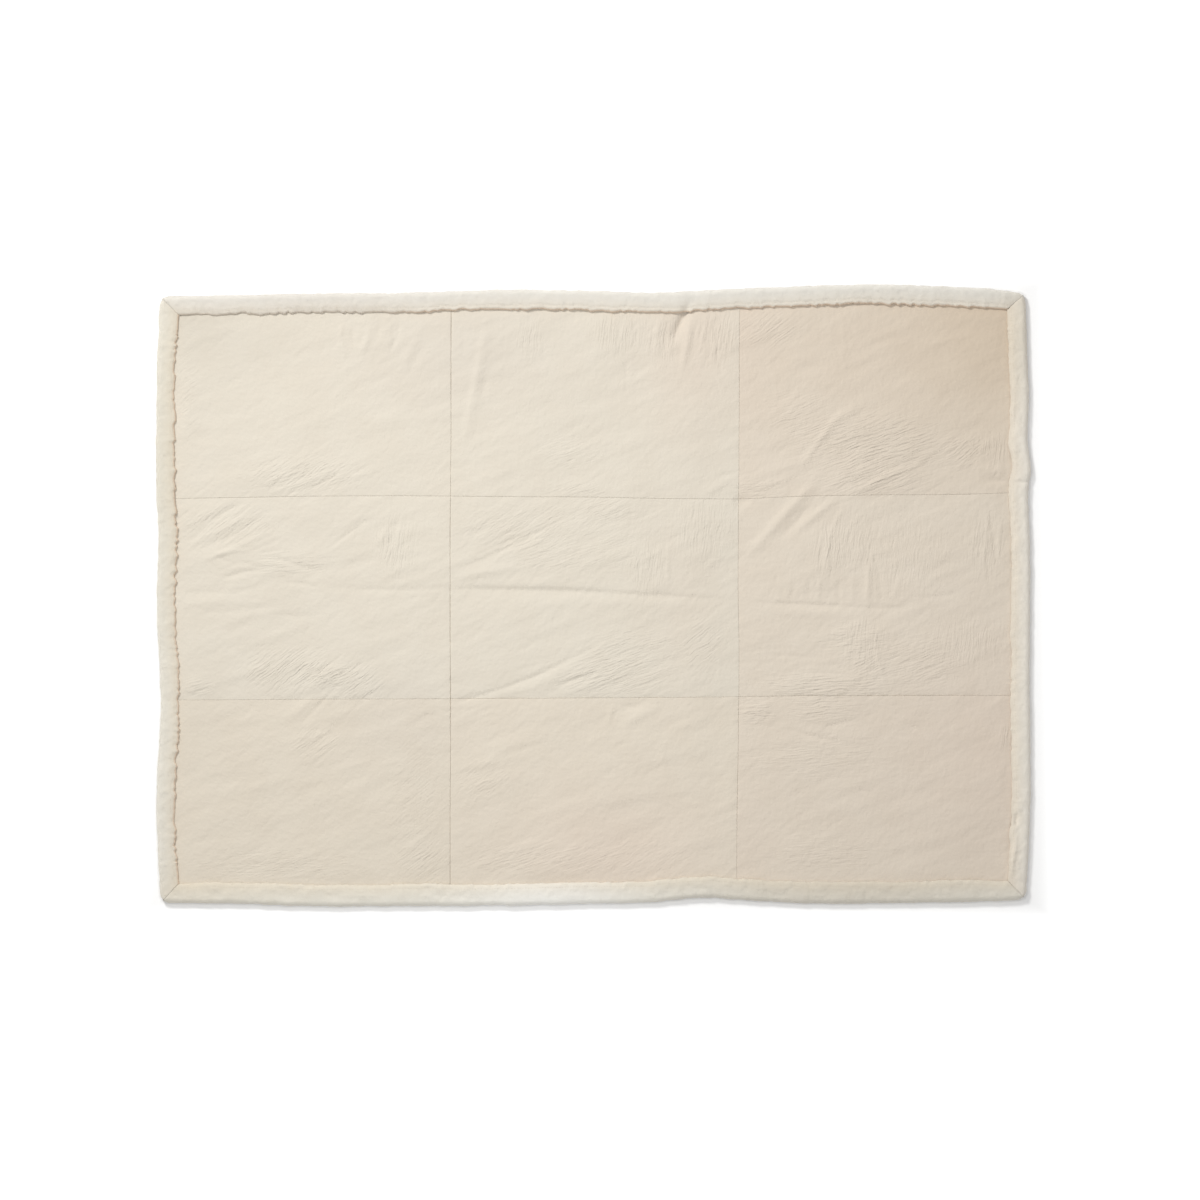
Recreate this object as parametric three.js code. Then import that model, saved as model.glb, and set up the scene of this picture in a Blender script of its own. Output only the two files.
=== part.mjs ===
// A double-face sheepskin throw, laid flat with its skin side up and its wool side down.
//
// Nine rectangular panels are sewn three by three. Four mitred strips of the same sheepskin,
// wool outwards, are folded round the outer edge as a border. Each panel is one solid, from
// the floor under its wool to the skin on top, and carries the folds that show from a step
// away. The edges, the seams and the border run as unevenly as they do on the laid throw.
//
// Sizes are millimetres. X runs along the length and Y along the width. The origin is the
// middle of the throw at floor level, and +Z is up.

import * as THREE from 'three';

// Driving sizes of the whole throw.
const LENGTH = 2000;
const WIDTH = 1400;
const PANELS_ALONG = 3;
const PANELS_ACROSS = 3;
const SKIN = 1.2;
const PILE = 10.8;
const PANEL_TOP = PILE + SKIN;
const GAP = 0.3;

// The border strip. Its leaf lies on the panels and its nose closes their outer edge.
const NOSE = 10;
const BORDER_TOP = 21;
const ROLL_RADIUS = 12;
const ROLL_STEPS = 4;
const LIP_WIDTH = 8;
const LIP_DROP = 7;
const LIP_STEPS = 2;
const LIP_UNDERCUT = 1;
const MITRE_GAP = 0.5;
const CORNER_LEAF = 45;
const CORNER_PULL = 3;
const CORNER_ROUNDED = 0.35;
const CORNER_SPREAD = 150;
const FOLD_SHARE_ON_BORDER = 0.6;

// The panels. A cell of a panel's top is split where a narrow fold runs through it.
const CELLS_ALONG = 14;
const CELLS_ACROSS = 10;
const SPLITS = 2;
const NARROW_FOLD = 20;
const SEAM_ROLL = 4;
const SEAM_DIP = 2;
const FLAT_UNDER_BORDER = 62;
const FULL_RELIEF = 95;

// How far the four lines that run along X lie above their straight places.
const LINES_ALONG = [
  { x: -1000, topEdge: -12, upperSeam: -11, lowerSeam: -7, bottomEdge: -6 },
  { x: -820, topEdge: -9, upperSeam: -8, lowerSeam: -6, bottomEdge: -8 },
  { x: -650, topEdge: -6, upperSeam: -5, lowerSeam: -5, bottomEdge: -14 },
  { x: -430, topEdge: -4, upperSeam: -4, lowerSeam: -4, bottomEdge: -13 },
  { x: -215, topEdge: 3, upperSeam: -6, lowerSeam: -3, bottomEdge: -12 },
  { x: 0, topEdge: 0, upperSeam: -7, lowerSeam: -2, bottomEdge: -8 },
  { x: 140, topEdge: -4, upperSeam: -10, lowerSeam: -1, bottomEdge: -4 },
  { x: 250, topEdge: 1, upperSeam: -11, lowerSeam: 0, bottomEdge: 6 },
  { x: 340, topEdge: 5, upperSeam: -11, lowerSeam: 1, bottomEdge: 1 },
  { x: 480, topEdge: 11, upperSeam: -5, lowerSeam: 3, bottomEdge: -7 },
  { x: 660, topEdge: 15, upperSeam: -2, lowerSeam: 3, bottomEdge: -7 },
  { x: 830, topEdge: 10, upperSeam: -1, lowerSeam: 4, bottomEdge: -4 },
  { x: 940, topEdge: 3, upperSeam: 2, lowerSeam: 4, bottomEdge: -1 },
  { x: 1000, topEdge: -5, upperSeam: 3, lowerSeam: 4, bottomEdge: 2 },
];

// How far the four lines that run along Y lie to the right of their straight places.
const LINES_ACROSS = [
  { y: -700, leftEdge: 6, leftSeam: 4, rightSeam: -4, rightEdge: -6 },
  { y: -590, leftEdge: -1, leftSeam: 4, rightSeam: -4, rightEdge: 0 },
  { y: -480, leftEdge: -4, leftSeam: 4, rightSeam: -3, rightEdge: 4 },
  { y: -370, leftEdge: -1, leftSeam: 5, rightSeam: -1, rightEdge: 4 },
  { y: -285, leftEdge: 5, leftSeam: 5, rightSeam: 0, rightEdge: 3 },
  { y: -205, leftEdge: 4, leftSeam: 5, rightSeam: 1, rightEdge: 2 },
  { y: -90, leftEdge: -1, leftSeam: 4, rightSeam: 1, rightEdge: 3 },
  { y: 20, leftEdge: -3, leftSeam: 4, rightSeam: -1, rightEdge: 4 },
  { y: 155, leftEdge: 0, leftSeam: 4, rightSeam: 0, rightEdge: 2 },
  { y: 240, leftEdge: -4, leftSeam: 5, rightSeam: 0, rightEdge: -1 },
  { y: 290, leftEdge: -5, leftSeam: 5, rightSeam: 1, rightEdge: 5 },
  { y: 350, leftEdge: -5, leftSeam: 6, rightSeam: 1, rightEdge: -2 },
  { y: 470, leftEdge: -4, leftSeam: 6, rightSeam: 2, rightEdge: 1 },
  { y: 570, leftEdge: -2, leftSeam: 6, rightSeam: 2, rightEdge: -4 },
  { y: 700, leftEdge: 5, leftSeam: 7, rightSeam: 3, rightEdge: -7 },
];

// Folds in the skin. x and y are the fold's middle, heading is the way it runs, in degrees
// up from +X, and bend is how far that way turns from one end to the other. width is the
// distance from the crest at which the fold has nearly gone, and a trough has height < 0.
const FOLDS = [
  // Top left panel: gathers below the border, and wrinkles above the seam.
  { x: -450, y: 599, length: 80, heading: 80, bend: 50, width: 9, height: -2.5 },
  { x: -523, y: 582, length: 80, heading: 69, bend: 17, width: 10, height: 2 },
  { x: -581, y: 587, length: 90, heading: 97, bend: -70, width: 10, height: 1.6 },
  { x: -627, y: 257, length: 100, heading: 24, bend: 20, width: 9, height: -2.6 },
  { x: -638, y: 278, length: 100, heading: 27, bend: 16, width: 9, height: 2.6 },
  { x: -540, y: 287, length: 75, heading: 27, bend: -29, width: 9, height: -1.6 },
  // Top middle panel: a long soft ridge, a deep fold that pushes into the border, and a bulge.
  { x: -271, y: 491, length: 310, heading: 79, bend: 2, width: 13, height: 2.5 },
  { x: 207, y: 639, length: 150, heading: 64, bend: 2, width: 12, height: -5.5 },
  { x: 218, y: 576, length: 135, heading: 81, bend: 12, width: 10, height: 2.6 },
  { x: 144, y: 595, length: 80, heading: 85, bend: -33, width: 10, height: 1.8 },
  { x: 289, y: 252, length: 90, heading: 29, bend: -22, width: 12, height: 2 },
  // Top right panel: long ridges that climb from the seams, and slight ones above them.
  { x: 481, y: 313, length: 265, heading: 33, bend: 79, width: 13, height: 3.8 },
  { x: 409, y: 257, length: 120, heading: 16, bend: 19, width: 11, height: 2 },
  { x: 436, y: 182, length: 265, heading: 48, bend: 3, width: 11, height: 4.2 },
  { x: 512, y: 186, length: 155, heading: 40, bend: 0, width: 10, height: 2.8 },
  { x: 643, y: 258, length: 180, heading: 28, bend: 0, width: 10, height: 2 },
  { x: 781, y: 332, length: 175, heading: 32, bend: 9, width: 10, height: 1.8 },
  { x: 914, y: 284, length: 90, heading: -12, bend: 2, width: 12, height: 2.6 },
  { x: 342, y: 217, length: 50, heading: 0, bend: 23, width: 12, height: -2.6 },
  { x: 500, y: 521, length: 110, heading: 11, bend: 3, width: 14, height: -1.5 },
  { x: 810, y: 586, length: 155, heading: 16, bend: 2, width: 12, height: 1.5 },
  // Middle left panel: waves that turn level, a crease, and folds across the lower seam.
  { x: -853, y: 187, length: 150, heading: 32, bend: -19, width: 10, height: -1.8 },
  { x: -847, y: 157, length: 185, heading: 27, bend: -8, width: 10, height: 1.6 },
  { x: -815, y: 114, length: 210, heading: 24, bend: 15, width: 10, height: 1.5 },
  { x: -803, y: 54, length: 110, heading: 11, bend: -34, width: 10, height: -1.6 },
  { x: -681, y: 70, length: 105, heading: -14, bend: -4, width: 10, height: -1.5 },
  { x: -560, y: 144, length: 140, heading: 36, bend: -5, width: 10, height: -2.2 },
  { x: -549, y: 168, length: 115, heading: 38, bend: 2, width: 10, height: 1.6 },
  { x: -613, y: -186, length: 140, heading: 34, bend: -2, width: 10, height: 2 },
  { x: -583, y: -207, length: 130, heading: 40, bend: 0, width: 10, height: -2.3 },
  { x: -648, y: -271, length: 115, heading: 39, bend: 17, width: 10, height: -2.3 },
  // The long level fold along which the whole throw was folded away.
  { x: -469, y: 13, length: 275, heading: 0, bend: 10, width: 11, height: -1.4 },
  { x: -158, y: 14, length: 345, heading: -1, bend: 0, width: 12, height: -3.2 },
  { x: 147, y: 0, length: 335, heading: -3, bend: -2, width: 10, height: -2.2 },
  { x: -243, y: 55, length: 150, heading: 11, bend: -4, width: 12, height: 2.4 },
  { x: 21, y: -20, length: 450, heading: 0, bend: -5, width: 12, height: 1.4 },
  { x: 498, y: -20, length: 250, heading: -3, bend: -2, width: 10, height: -3.4 },
  { x: 659, y: -29, length: 140, heading: -1, bend: 4, width: 10, height: -1.6 },
  { x: 513, y: -43, length: 235, heading: -2, bend: -6, width: 11, height: 1.6 },
  // Centre panel: fans of creases above and below the long fold.
  { x: -223, y: 110, length: 200, heading: 30, bend: 4, width: 10, height: -2.3 },
  { x: -230, y: 134, length: 170, heading: 31, bend: -4, width: 10, height: 2 },
  { x: 32, y: 193, length: 140, heading: 23, bend: -13, width: 10, height: 2 },
  { x: 49, y: 170, length: 135, heading: 24, bend: -6, width: 10, height: -1.6 },
  { x: -135, y: -184, length: 400, heading: 20, bend: 22, width: 10, height: -4 },
  { x: -106, y: -207, length: 230, heading: 18, bend: 19, width: 11, height: 2.4 },
  { x: -50, y: -222, length: 150, heading: 17, bend: 19, width: 9, height: -2 },
  { x: 171, y: 71, length: 100, heading: 89, bend: 5, width: 9, height: 1.4 },
  // Middle right panel: an upright ridge on the long fold, and a crease in a crumple.
  { x: 631, y: 26, length: 110, heading: 88, bend: 0, width: 9, height: 2.4 },
  { x: 540, y: 134, length: 130, heading: 77, bend: -91, width: 10, height: 1.3 },
  { x: 655, y: -144, length: 140, heading: -77, bend: 6, width: 9, height: 1.5 },
  // Bottom row: a bulge below the seam, two crossing creases and slight wrinkles.
  { x: 108, y: -274, length: 105, heading: 24, bend: -9, width: 14, height: 2.6 },
  { x: 38, y: -276, length: 60, heading: 77, bend: -2, width: 9, height: 1.5 },
  { x: 517, y: -327, length: 145, heading: -13, bend: 20, width: 9, height: -2.2 },
  { x: 565, y: -295, length: 90, heading: 13, bend: 3, width: 9, height: -1.6 },
  { x: 376, y: -257, length: 70, heading: 17, bend: -3, width: 10, height: 1.6 },
  { x: -628, y: -332, length: 85, heading: 33, bend: -3, width: 10, height: -1.6 },
  { x: -393, y: -557, length: 130, heading: 39, bend: 24, width: 11, height: 1.3 },
  { x: -168, y: -355, length: 160, heading: 17, bend: -4, width: 10, height: -1.3 },
  // Broad soft folds over the whole width, left from being folded away.
  { x: 222, y: 0, length: 1500, heading: 90, bend: 0, width: 60, height: 1.6 },
  { x: -415, y: -330, length: 700, heading: 90, bend: 0, width: 55, height: 1.2 },
];

// Long low waves of the whole throw. Each column is a length in mm, or a turn in radians.
const WAVES = [
  { height: 0.7, lengthX: 640, lengthY: 900, turn: 0.4 },
  { height: 0.5, lengthX: 410, lengthY: -530, turn: 2.1 },
  { height: 0.4, lengthX: -290, lengthY: 350, turn: 4.4 },
];

// The wool's lumps along the border, and the sway of the edge of its leaf.
const WOOL_WAVES = [
  { height: 0.6, lengthX: 230, lengthY: 190, turn: 1.2 },
  { height: 0.4, lengthX: -137, lengthY: 161, turn: 3.3 },
];
const LEAF_WAVES = [
  { height: 0.9, lengthX: 310, lengthY: 270, turn: 0.7 },
  { height: 0.7, lengthX: 171, lengthY: -153, turn: 5.1 },
];

// The border's four sides, in the order in which they follow each other round the throw.
// startX and startY pick the corner, alongX and alongY the way from it, and leaf is the
// width of wool that shows on the skin side.
const BORDER_SIDES = [
  { name: 'border_bottom', startX: -1, startY: -1, alongX: 1, alongY: 0, leaf: 49 },
  { name: 'border_right', startX: 1, startY: -1, alongX: 0, alongY: 1, leaf: 44 },
  { name: 'border_top', startX: 1, startY: 1, alongX: -1, alongY: 0, leaf: 45 },
  { name: 'border_left', startX: -1, startY: 1, alongX: 0, alongY: -1, leaf: 43 },
];

const ROW_NAMES = ['bottom', 'middle', 'top'];
const COLUMN_NAMES = ['left', 'middle', 'right'];

// Materials

function skinMaterial() {
  return new THREE.MeshStandardMaterial({ color: 0xe3d9c9, roughness: 0.75, metalness: 0 });
}

function woolMaterial() {
  return new THREE.MeshStandardMaterial({ color: 0xece6d9, roughness: 1, metalness: 0 });
}

// The lie of the edges and seams

function interpolant(rows, place, columns) {
  const places = rows.map((row) => row[place]);
  const values = rows.flatMap((row) => columns.map((column) => row[column]));
  return new THREE.CubicInterpolant(places, values, columns.length);
}

const driftAlong = interpolant(LINES_ALONG, 'x', ['bottomEdge', 'lowerSeam', 'upperSeam', 'topEdge']);
const driftAcross = interpolant(LINES_ACROSS, 'y', ['leftEdge', 'leftSeam', 'rightSeam', 'rightEdge']);

// Shares the drift of the two lines on either side of a place. share runs from 0 to 3.
function sharedDrift(drifts, share) {
  const line = THREE.MathUtils.clamp(Math.floor(share), 0, drifts.length - 2);
  return THREE.MathUtils.lerp(drifts[line], drifts[line + 1], share - line);
}

// Where a point of the straight pattern lies on the laid throw.
function lay(x, y) {
  const columnShare = (x / LENGTH + 0.5) * PANELS_ALONG;
  const rowShare = (y / WIDTH + 0.5) * PANELS_ACROSS;
  return new THREE.Vector2(
    x + sharedDrift(driftAcross.evaluate(y), columnShare),
    y + sharedDrift(driftAlong.evaluate(x), rowShare),
  );
}

// The folds

function foldFrame(fold, x, y) {
  const heading = THREE.MathUtils.degToRad(fold.heading);
  const bend = THREE.MathUtils.degToRad(fold.bend);
  const along = (x - fold.x) * Math.cos(heading) + (y - fold.y) * Math.sin(heading);
  const bow = (bend * along * along) / (2 * fold.length);
  const across = (y - fold.y) * Math.cos(heading) - (x - fold.x) * Math.sin(heading) - bow;
  return { along, across };
}

function foldHeight(fold, x, y) {
  const { along, across } = foldFrame(fold, x, y);
  const reach = Math.abs(along) / (fold.length / 2);
  if (reach >= 1) {
    return 0;
  }
  return fold.height * Math.exp(-((across / fold.width) ** 2)) * (1 - reach ** 2);
}

function waveHeight(waves, x, y) {
  return waves.reduce((sum, wave) => {
    const turn = 2 * Math.PI * (x / wave.lengthX + y / wave.lengthY) + wave.turn;
    return sum + wave.height * Math.sin(turn);
  }, 0);
}

function foldsAt(x, y) {
  return FOLDS.reduce((sum, fold) => sum + foldHeight(fold, x, y), 0);
}

// The height of the skin at a laid point, and its place in the straight pattern. Ridges run
// out before the border, and troughs go on under it.
function skinHeight(laid, flat) {
  const relief = waveHeight(WAVES, laid.x, laid.y) + foldsAt(laid.x, laid.y);
  const fromEdge = Math.min(LENGTH / 2 - Math.abs(flat.x), WIDTH / 2 - Math.abs(flat.y));
  const full = THREE.MathUtils.smoothstep(fromEdge, FLAT_UNDER_BORDER, FULL_RELIEF);
  return PANEL_TOP + (relief > 0 ? relief * full : relief);
}

function foldCrosses(x, y, size) {
  return FOLDS.some((fold) => {
    const { along, across } = foldFrame(fold, x, y);
    const near = Math.abs(across) < size / 2 + fold.width;
    return fold.width < NARROW_FOLD && near && Math.abs(along) < (fold.length + size) / 2;
  });
}

// Solids

class Solid {
  constructor() {
    this.positions = [];
    this.indices = [];
  }

  point(x, y, z) {
    this.positions.push(x, y, z);
    return this.positions.length / 3 - 1;
  }

  triangle(a, b, c) {
    this.indices.push(a, b, c);
  }

  // A quadrilateral, cut along its first and third corners.
  quad(a, b, c, d) {
    this.triangle(a, b, c);
    this.triangle(a, c, d);
  }

  fan(centre, ring) {
    ring.forEach((corner, index) => this.triangle(centre, corner, ring[(index + 1) % ring.length]));
  }

  // Walls between two rings of the same number of points, the first one outside or below.
  band(outer, inner) {
    outer.forEach((corner, index) => {
      const next = (index + 1) % outer.length;
      this.quad(corner, outer[next], inner[next], inner[index]);
    });
  }

  geometry() {
    const geometry = new THREE.BufferGeometry();
    geometry.setAttribute('position', new THREE.Float32BufferAttribute(this.positions, 3));
    geometry.setIndex(this.indices);
    geometry.computeVertexNormals();
    return geometry;
  }
}

// A panel

// One panel's share of the length or width: from its seam or from the inside of the border's
// nose to its other seam.
function panelSpan(index, count, whole) {
  const low = -whole / 2 + (whole * index) / count;
  const high = low + whole / count;
  return {
    low: index === 0 ? low + NOSE + GAP : low + GAP / 2,
    high: index === count - 1 ? high - NOSE - GAP : high - GAP / 2,
  };
}

// A rectangle of square cells, numbered in steps of the smallest cell. A cell that a fold
// crosses is split in four, and split again. put lays the point at a column and a row.
class CellField {
  constructor(spanX, spanY) {
    this.step = 2 ** SPLITS;
    this.columns = CELLS_ALONG * this.step;
    this.rows = CELLS_ACROSS * this.step;
    this.spanX = spanX;
    this.spanY = spanY;
    this.cells = [];
    for (let column = 0; column < this.columns; column += this.step) {
      for (let row = 0; row < this.rows; row += this.step) {
        this.split(column, row, this.step);
      }
    }
    this.corners = new Set(this.cells.flatMap((cell) => this.cornersOf(cell)));
  }

  flat(column, row) {
    return new THREE.Vector2(
      THREE.MathUtils.lerp(this.spanX.low, this.spanX.high, column / this.columns),
      THREE.MathUtils.lerp(this.spanY.low, this.spanY.high, row / this.rows),
    );
  }

  // The drift is worked out at the corners of a whole cell and shared evenly inside it, so
  // that a split cell keeps straight sides. outward moves a point of the rim off the field.
  put(column, row, outward = new THREE.Vector2()) {
    const left = Math.min(Math.floor(column / this.step) * this.step, this.columns - this.step);
    const low = Math.min(Math.floor(row / this.step) * this.step, this.rows - this.step);
    const corner = (right, up) => {
      const point = this.flat(left + right * this.step, low + up * this.step).add(outward);
      return lay(point.x, point.y);
    };
    const across = (column - left) / this.step;
    const up = (row - low) / this.step;
    const below = corner(0, 0).lerp(corner(1, 0), across);
    const above = corner(0, 1).lerp(corner(1, 1), across);
    return below.lerp(above, up);
  }

  split(column, row, size) {
    const middle = this.put(column + size / 2, row + size / 2);
    const width = ((this.spanX.high - this.spanX.low) * size) / this.columns;
    if (size > 1 && foldCrosses(middle.x, middle.y, width)) {
      const half = size / 2;
      for (const right of [0, half]) {
        for (const up of [0, half]) {
          this.split(column + right, row + up, half);
        }
      }
      return;
    }
    this.cells.push({ column, row, size });
  }

  key(column, row) {
    return column * (this.rows + 1) + row;
  }

  // The steps round a rectangle, against the clock.
  round(column, row, width, height) {
    const places = [];
    for (let step = 0; step < width; step += 1) {
      places.push([column + step, row]);
    }
    for (let step = 0; step < height; step += 1) {
      places.push([column + width, row + step]);
    }
    for (let step = 0; step < width; step += 1) {
      places.push([column + width - step, row + height]);
    }
    for (let step = 0; step < height; step += 1) {
      places.push([column, row + height - step]);
    }
    return places;
  }

  cornersOf({ column, row, size }) {
    const ends = [0, size];
    return ends.flatMap((right) => ends.map((up) => this.key(column + right, row + up)));
  }

  // The places round a rectangle at which any cell has a corner.
  cornersRound(column, row, width, height) {
    const places = this.round(column, row, width, height);
    return places.filter((place) => this.corners.has(this.key(...place)));
  }
}

// The way off the field from a place on its rim, as far as the skin rolls into the seam.
function outwardAt(field, column, row) {
  const right = Number(column === field.columns) - Number(column === 0);
  const up = Number(row === field.rows) - Number(row === 0);
  return new THREE.Vector2(right, up).multiplyScalar(SEAM_ROLL);
}

function panelGeometry(column, row) {
  const spanX = panelSpan(column, PANELS_ALONG, LENGTH);
  const spanY = panelSpan(row, PANELS_ACROSS, WIDTH);
  const field = new CellField(
    { low: spanX.low + SEAM_ROLL, high: spanX.high - SEAM_ROLL },
    { low: spanY.low + SEAM_ROLL, high: spanY.high - SEAM_ROLL },
  );
  const solid = new Solid();
  const placed = new Map();

  const topPoint = (place) => {
    const key = field.key(...place);
    if (!placed.has(key)) {
      const laid = field.put(...place);
      placed.set(key, solid.point(laid.x, laid.y, skinHeight(laid, field.flat(...place))));
    }
    return placed.get(key);
  };
  const heightOf = (point) => solid.positions[point * 3 + 2];

  for (const cell of field.cells) {
    const ring = field.cornersRound(cell.column, cell.row, cell.size, cell.size).map(topPoint);
    if (ring.length > 4) {
      solid.fan(topPoint([cell.column + cell.size / 2, cell.row + cell.size / 2]), ring);
      continue;
    }
    const [a, b, c, d] = ring;
    const levelAC = Math.abs(heightOf(a) - heightOf(c)) <= Math.abs(heightOf(b) - heightOf(d));
    if (levelAC) {
      solid.quad(a, b, c, d);
    } else {
      solid.quad(b, c, d, a);
    }
  }

  // The skin rolls down into the seams all round, and plain walls go down to the floor.
  const rim = field.cornersRound(0, 0, field.columns, field.rows);
  const edge = rim.map((place) => field.put(...place, outwardAt(field, ...place)));
  const shoulder = edge.map((laid, index) => {
    const height = skinHeight(laid, field.flat(...rim[index]));
    return solid.point(laid.x, laid.y, height - SEAM_DIP);
  });
  const foot = edge.map(({ x, y }) => solid.point(x, y, 0));
  solid.band(shoulder, rim.map(topPoint));
  solid.band(foot, shoulder);
  const middle = field.put(field.columns / 2, field.rows / 2);
  solid.fan(solid.point(middle.x, middle.y, 0), [...foot].reverse());
  return solid.geometry();
}

// The border

// The strip's section at one place, from the floor under the nose, over the wool and round
// its lip to the panel's edge. inward is measured from the outer edge.
function borderSection(leaf, top) {
  const rollMiddle = top - ROLL_RADIUS;
  const rollStart = -Math.asin(rollMiddle / ROLL_RADIUS);
  const section = [];
  for (let step = 0; step <= ROLL_STEPS; step += 1) {
    const turn = THREE.MathUtils.lerp(rollStart, Math.PI / 2, step / ROLL_STEPS);
    section.push({
      inward: ROLL_RADIUS * (1 - Math.cos(turn)),
      height: rollMiddle + ROLL_RADIUS * Math.sin(turn),
    });
  }
  for (let step = 0; step <= LIP_STEPS; step += 1) {
    const turn = ((Math.PI / 2) * step) / LIP_STEPS;
    section.push({
      inward: leaf - LIP_WIDTH * (1 - Math.sin(turn)),
      height: top - LIP_DROP * (1 - Math.cos(turn)),
    });
  }
  const underside = PANEL_TOP + GAP;
  section.push({ inward: leaf - LIP_UNDERCUT, height: underside });
  section.push({ inward: NOSE, height: underside });
  section.push({ inward: NOSE, height: 0 });
  return section;
}

// The places along a side at which the panels' outer edge turns, without its two ends, so
// that the nose follows that edge.
function stationsAlong(count, whole, cells) {
  const stations = [];
  for (let panel = 0; panel < count; panel += 1) {
    const span = panelSpan(panel, count, whole);
    const low = span.low + SEAM_ROLL;
    const high = span.high - SEAM_ROLL;
    for (let cell = 1; cell < cells; cell += 1) {
      stations.push(THREE.MathUtils.lerp(low, high, cell / cells));
    }
    if (panel < count - 1) {
      stations.push(span.high + GAP / 2);
    }
  }
  return stations;
}

function borderGeometry(side) {
  const alongX = side.alongX !== 0;
  const whole = alongX ? LENGTH : WIDTH;
  const stations = alongX
    ? stationsAlong(PANELS_ALONG, LENGTH, CELLS_ALONG)
    : stationsAlong(PANELS_ACROSS, WIDTH, CELLS_ACROSS);

  // A point of the strip, laid. forward is measured from the side's first corner, and the
  // way inward is a quarter turn against the clock from the way along.
  const pointAt = (forward, inward, height) => {
    const flatX = (side.startX * LENGTH) / 2 + side.alongX * forward - side.alongY * inward;
    const flatY = (side.startY * WIDTH) / 2 + side.alongY * forward + side.alongX * inward;
    const laid = lay(flatX, flatY);
    const swell = Math.max(0, (height - PANEL_TOP - GAP) / (BORDER_TOP - PANEL_TOP - GAP));
    const lump = waveHeight(WOOL_WAVES, laid.x, laid.y);
    const fold = FOLD_SHARE_ON_BORDER * foldsAt(laid.x, laid.y);
    return new THREE.Vector3(laid.x, laid.y, height + swell * (lump + fold));
  };

  // A station cut at the mitre follows the corner's diagonal, and its outer points may be
  // pulled in to round the corner.
  const mitre = (atEnd, pull) => borderSection(CORNER_LEAF, BORDER_TOP).map((place) => {
    const pulled = place.inward + pull * Math.max(0, 1 - place.inward / NOSE);
    const fromCorner = pulled + MITRE_GAP / Math.SQRT2;
    return pointAt(atEnd ? whole - fromCorner : fromCorner, pulled, place.height);
  });
  const square = (place) => {
    const forward = place + whole / 2;
    const fromCorner = Math.min(forward, whole - forward);
    const openness = THREE.MathUtils.smoothstep(fromCorner, 0, CORNER_SPREAD);
    const straight = pointAt(forward, 0, 0);
    const sway = waveHeight(LEAF_WAVES, straight.x, straight.y);
    const leaf = THREE.MathUtils.lerp(CORNER_LEAF, side.leaf + sway, openness);
    return borderSection(leaf, BORDER_TOP).map(({ inward, height }) => pointAt(forward, inward, height));
  };
  const partWay = (from, to) => from.map((point, index) => point.clone().lerp(to[index], CORNER_ROUNDED));

  const sections = stations.map(square);
  sections.unshift(mitre(false, CORNER_PULL), partWay(mitre(false, 0), sections[0]));
  sections.push(partWay(mitre(true, 0), sections.at(-1)), mitre(true, CORNER_PULL));

  const solid = new Solid();
  const rings = sections.map((section) => section.map(({ x, y, z }) => solid.point(x, y, z)));
  rings.slice(1).forEach((ring, index) => solid.band(ring, rings[index]));
  const outline = borderSection(CORNER_LEAF, BORDER_TOP);
  const contour = outline.map(({ inward, height }) => new THREE.Vector2(inward, height));
  for (const [a, b, c] of THREE.ShapeUtils.triangulateShape(contour, [])) {
    solid.triangle(rings[0][a], rings[0][c], rings[0][b]);
    solid.triangle(rings.at(-1)[a], rings.at(-1)[b], rings.at(-1)[c]);
  }
  return solid.geometry();
}

// The throw

function panelName(column, row) {
  const middle = column === 1 && row === 1;
  return middle ? 'panel_centre' : `panel_${ROW_NAMES[row]}_${COLUMN_NAMES[column]}`;
}

function namedMesh(name, geometry, material) {
  const mesh = new THREE.Mesh(geometry, material);
  mesh.name = name;
  return mesh;
}

function buildThrow() {
  const wholeThrow = new THREE.Group();
  for (let row = 0; row < PANELS_ACROSS; row += 1) {
    for (let column = 0; column < PANELS_ALONG; column += 1) {
      wholeThrow.add(namedMesh(panelName(column, row), panelGeometry(column, row), skinMaterial()));
    }
  }
  for (const side of BORDER_SIDES) {
    wholeThrow.add(namedMesh(side.name, borderGeometry(side), woolMaterial()));
  }
  // The uneven edges leave the throw a little off the middle of its pattern.
  const middle = new THREE.Box3().setFromObject(wholeThrow).getCenter(new THREE.Vector3());
  wholeThrow.position.set(-middle.x, -middle.y, 0);
  return wholeThrow;
}

export default buildThrow();
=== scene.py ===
"""A double-face sheepskin throw, laid flat with its skin side up and its wool side down.

Nine panels are sewn three by three, and a strip of the same sheepskin, wool outwards, is
folded round each side and mitred at the corners. Every length in this script is in
millimetres, and a mesh is turned into metres when it is written.
"""

import math
from collections import namedtuple

import bpy
import numpy as np
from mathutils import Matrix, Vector


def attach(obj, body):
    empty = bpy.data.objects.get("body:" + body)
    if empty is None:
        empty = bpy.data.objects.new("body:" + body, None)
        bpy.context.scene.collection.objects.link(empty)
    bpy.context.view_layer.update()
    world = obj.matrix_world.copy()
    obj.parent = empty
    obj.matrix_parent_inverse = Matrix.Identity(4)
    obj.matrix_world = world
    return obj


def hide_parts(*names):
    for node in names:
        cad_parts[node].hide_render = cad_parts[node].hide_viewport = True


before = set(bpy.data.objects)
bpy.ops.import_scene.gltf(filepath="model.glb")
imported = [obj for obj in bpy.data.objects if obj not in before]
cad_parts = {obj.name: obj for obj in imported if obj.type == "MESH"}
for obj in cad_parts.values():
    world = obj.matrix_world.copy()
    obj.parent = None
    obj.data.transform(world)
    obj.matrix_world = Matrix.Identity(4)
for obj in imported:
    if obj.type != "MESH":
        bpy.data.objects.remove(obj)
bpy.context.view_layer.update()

METRE = 1000.0
BODY = "root"

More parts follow.
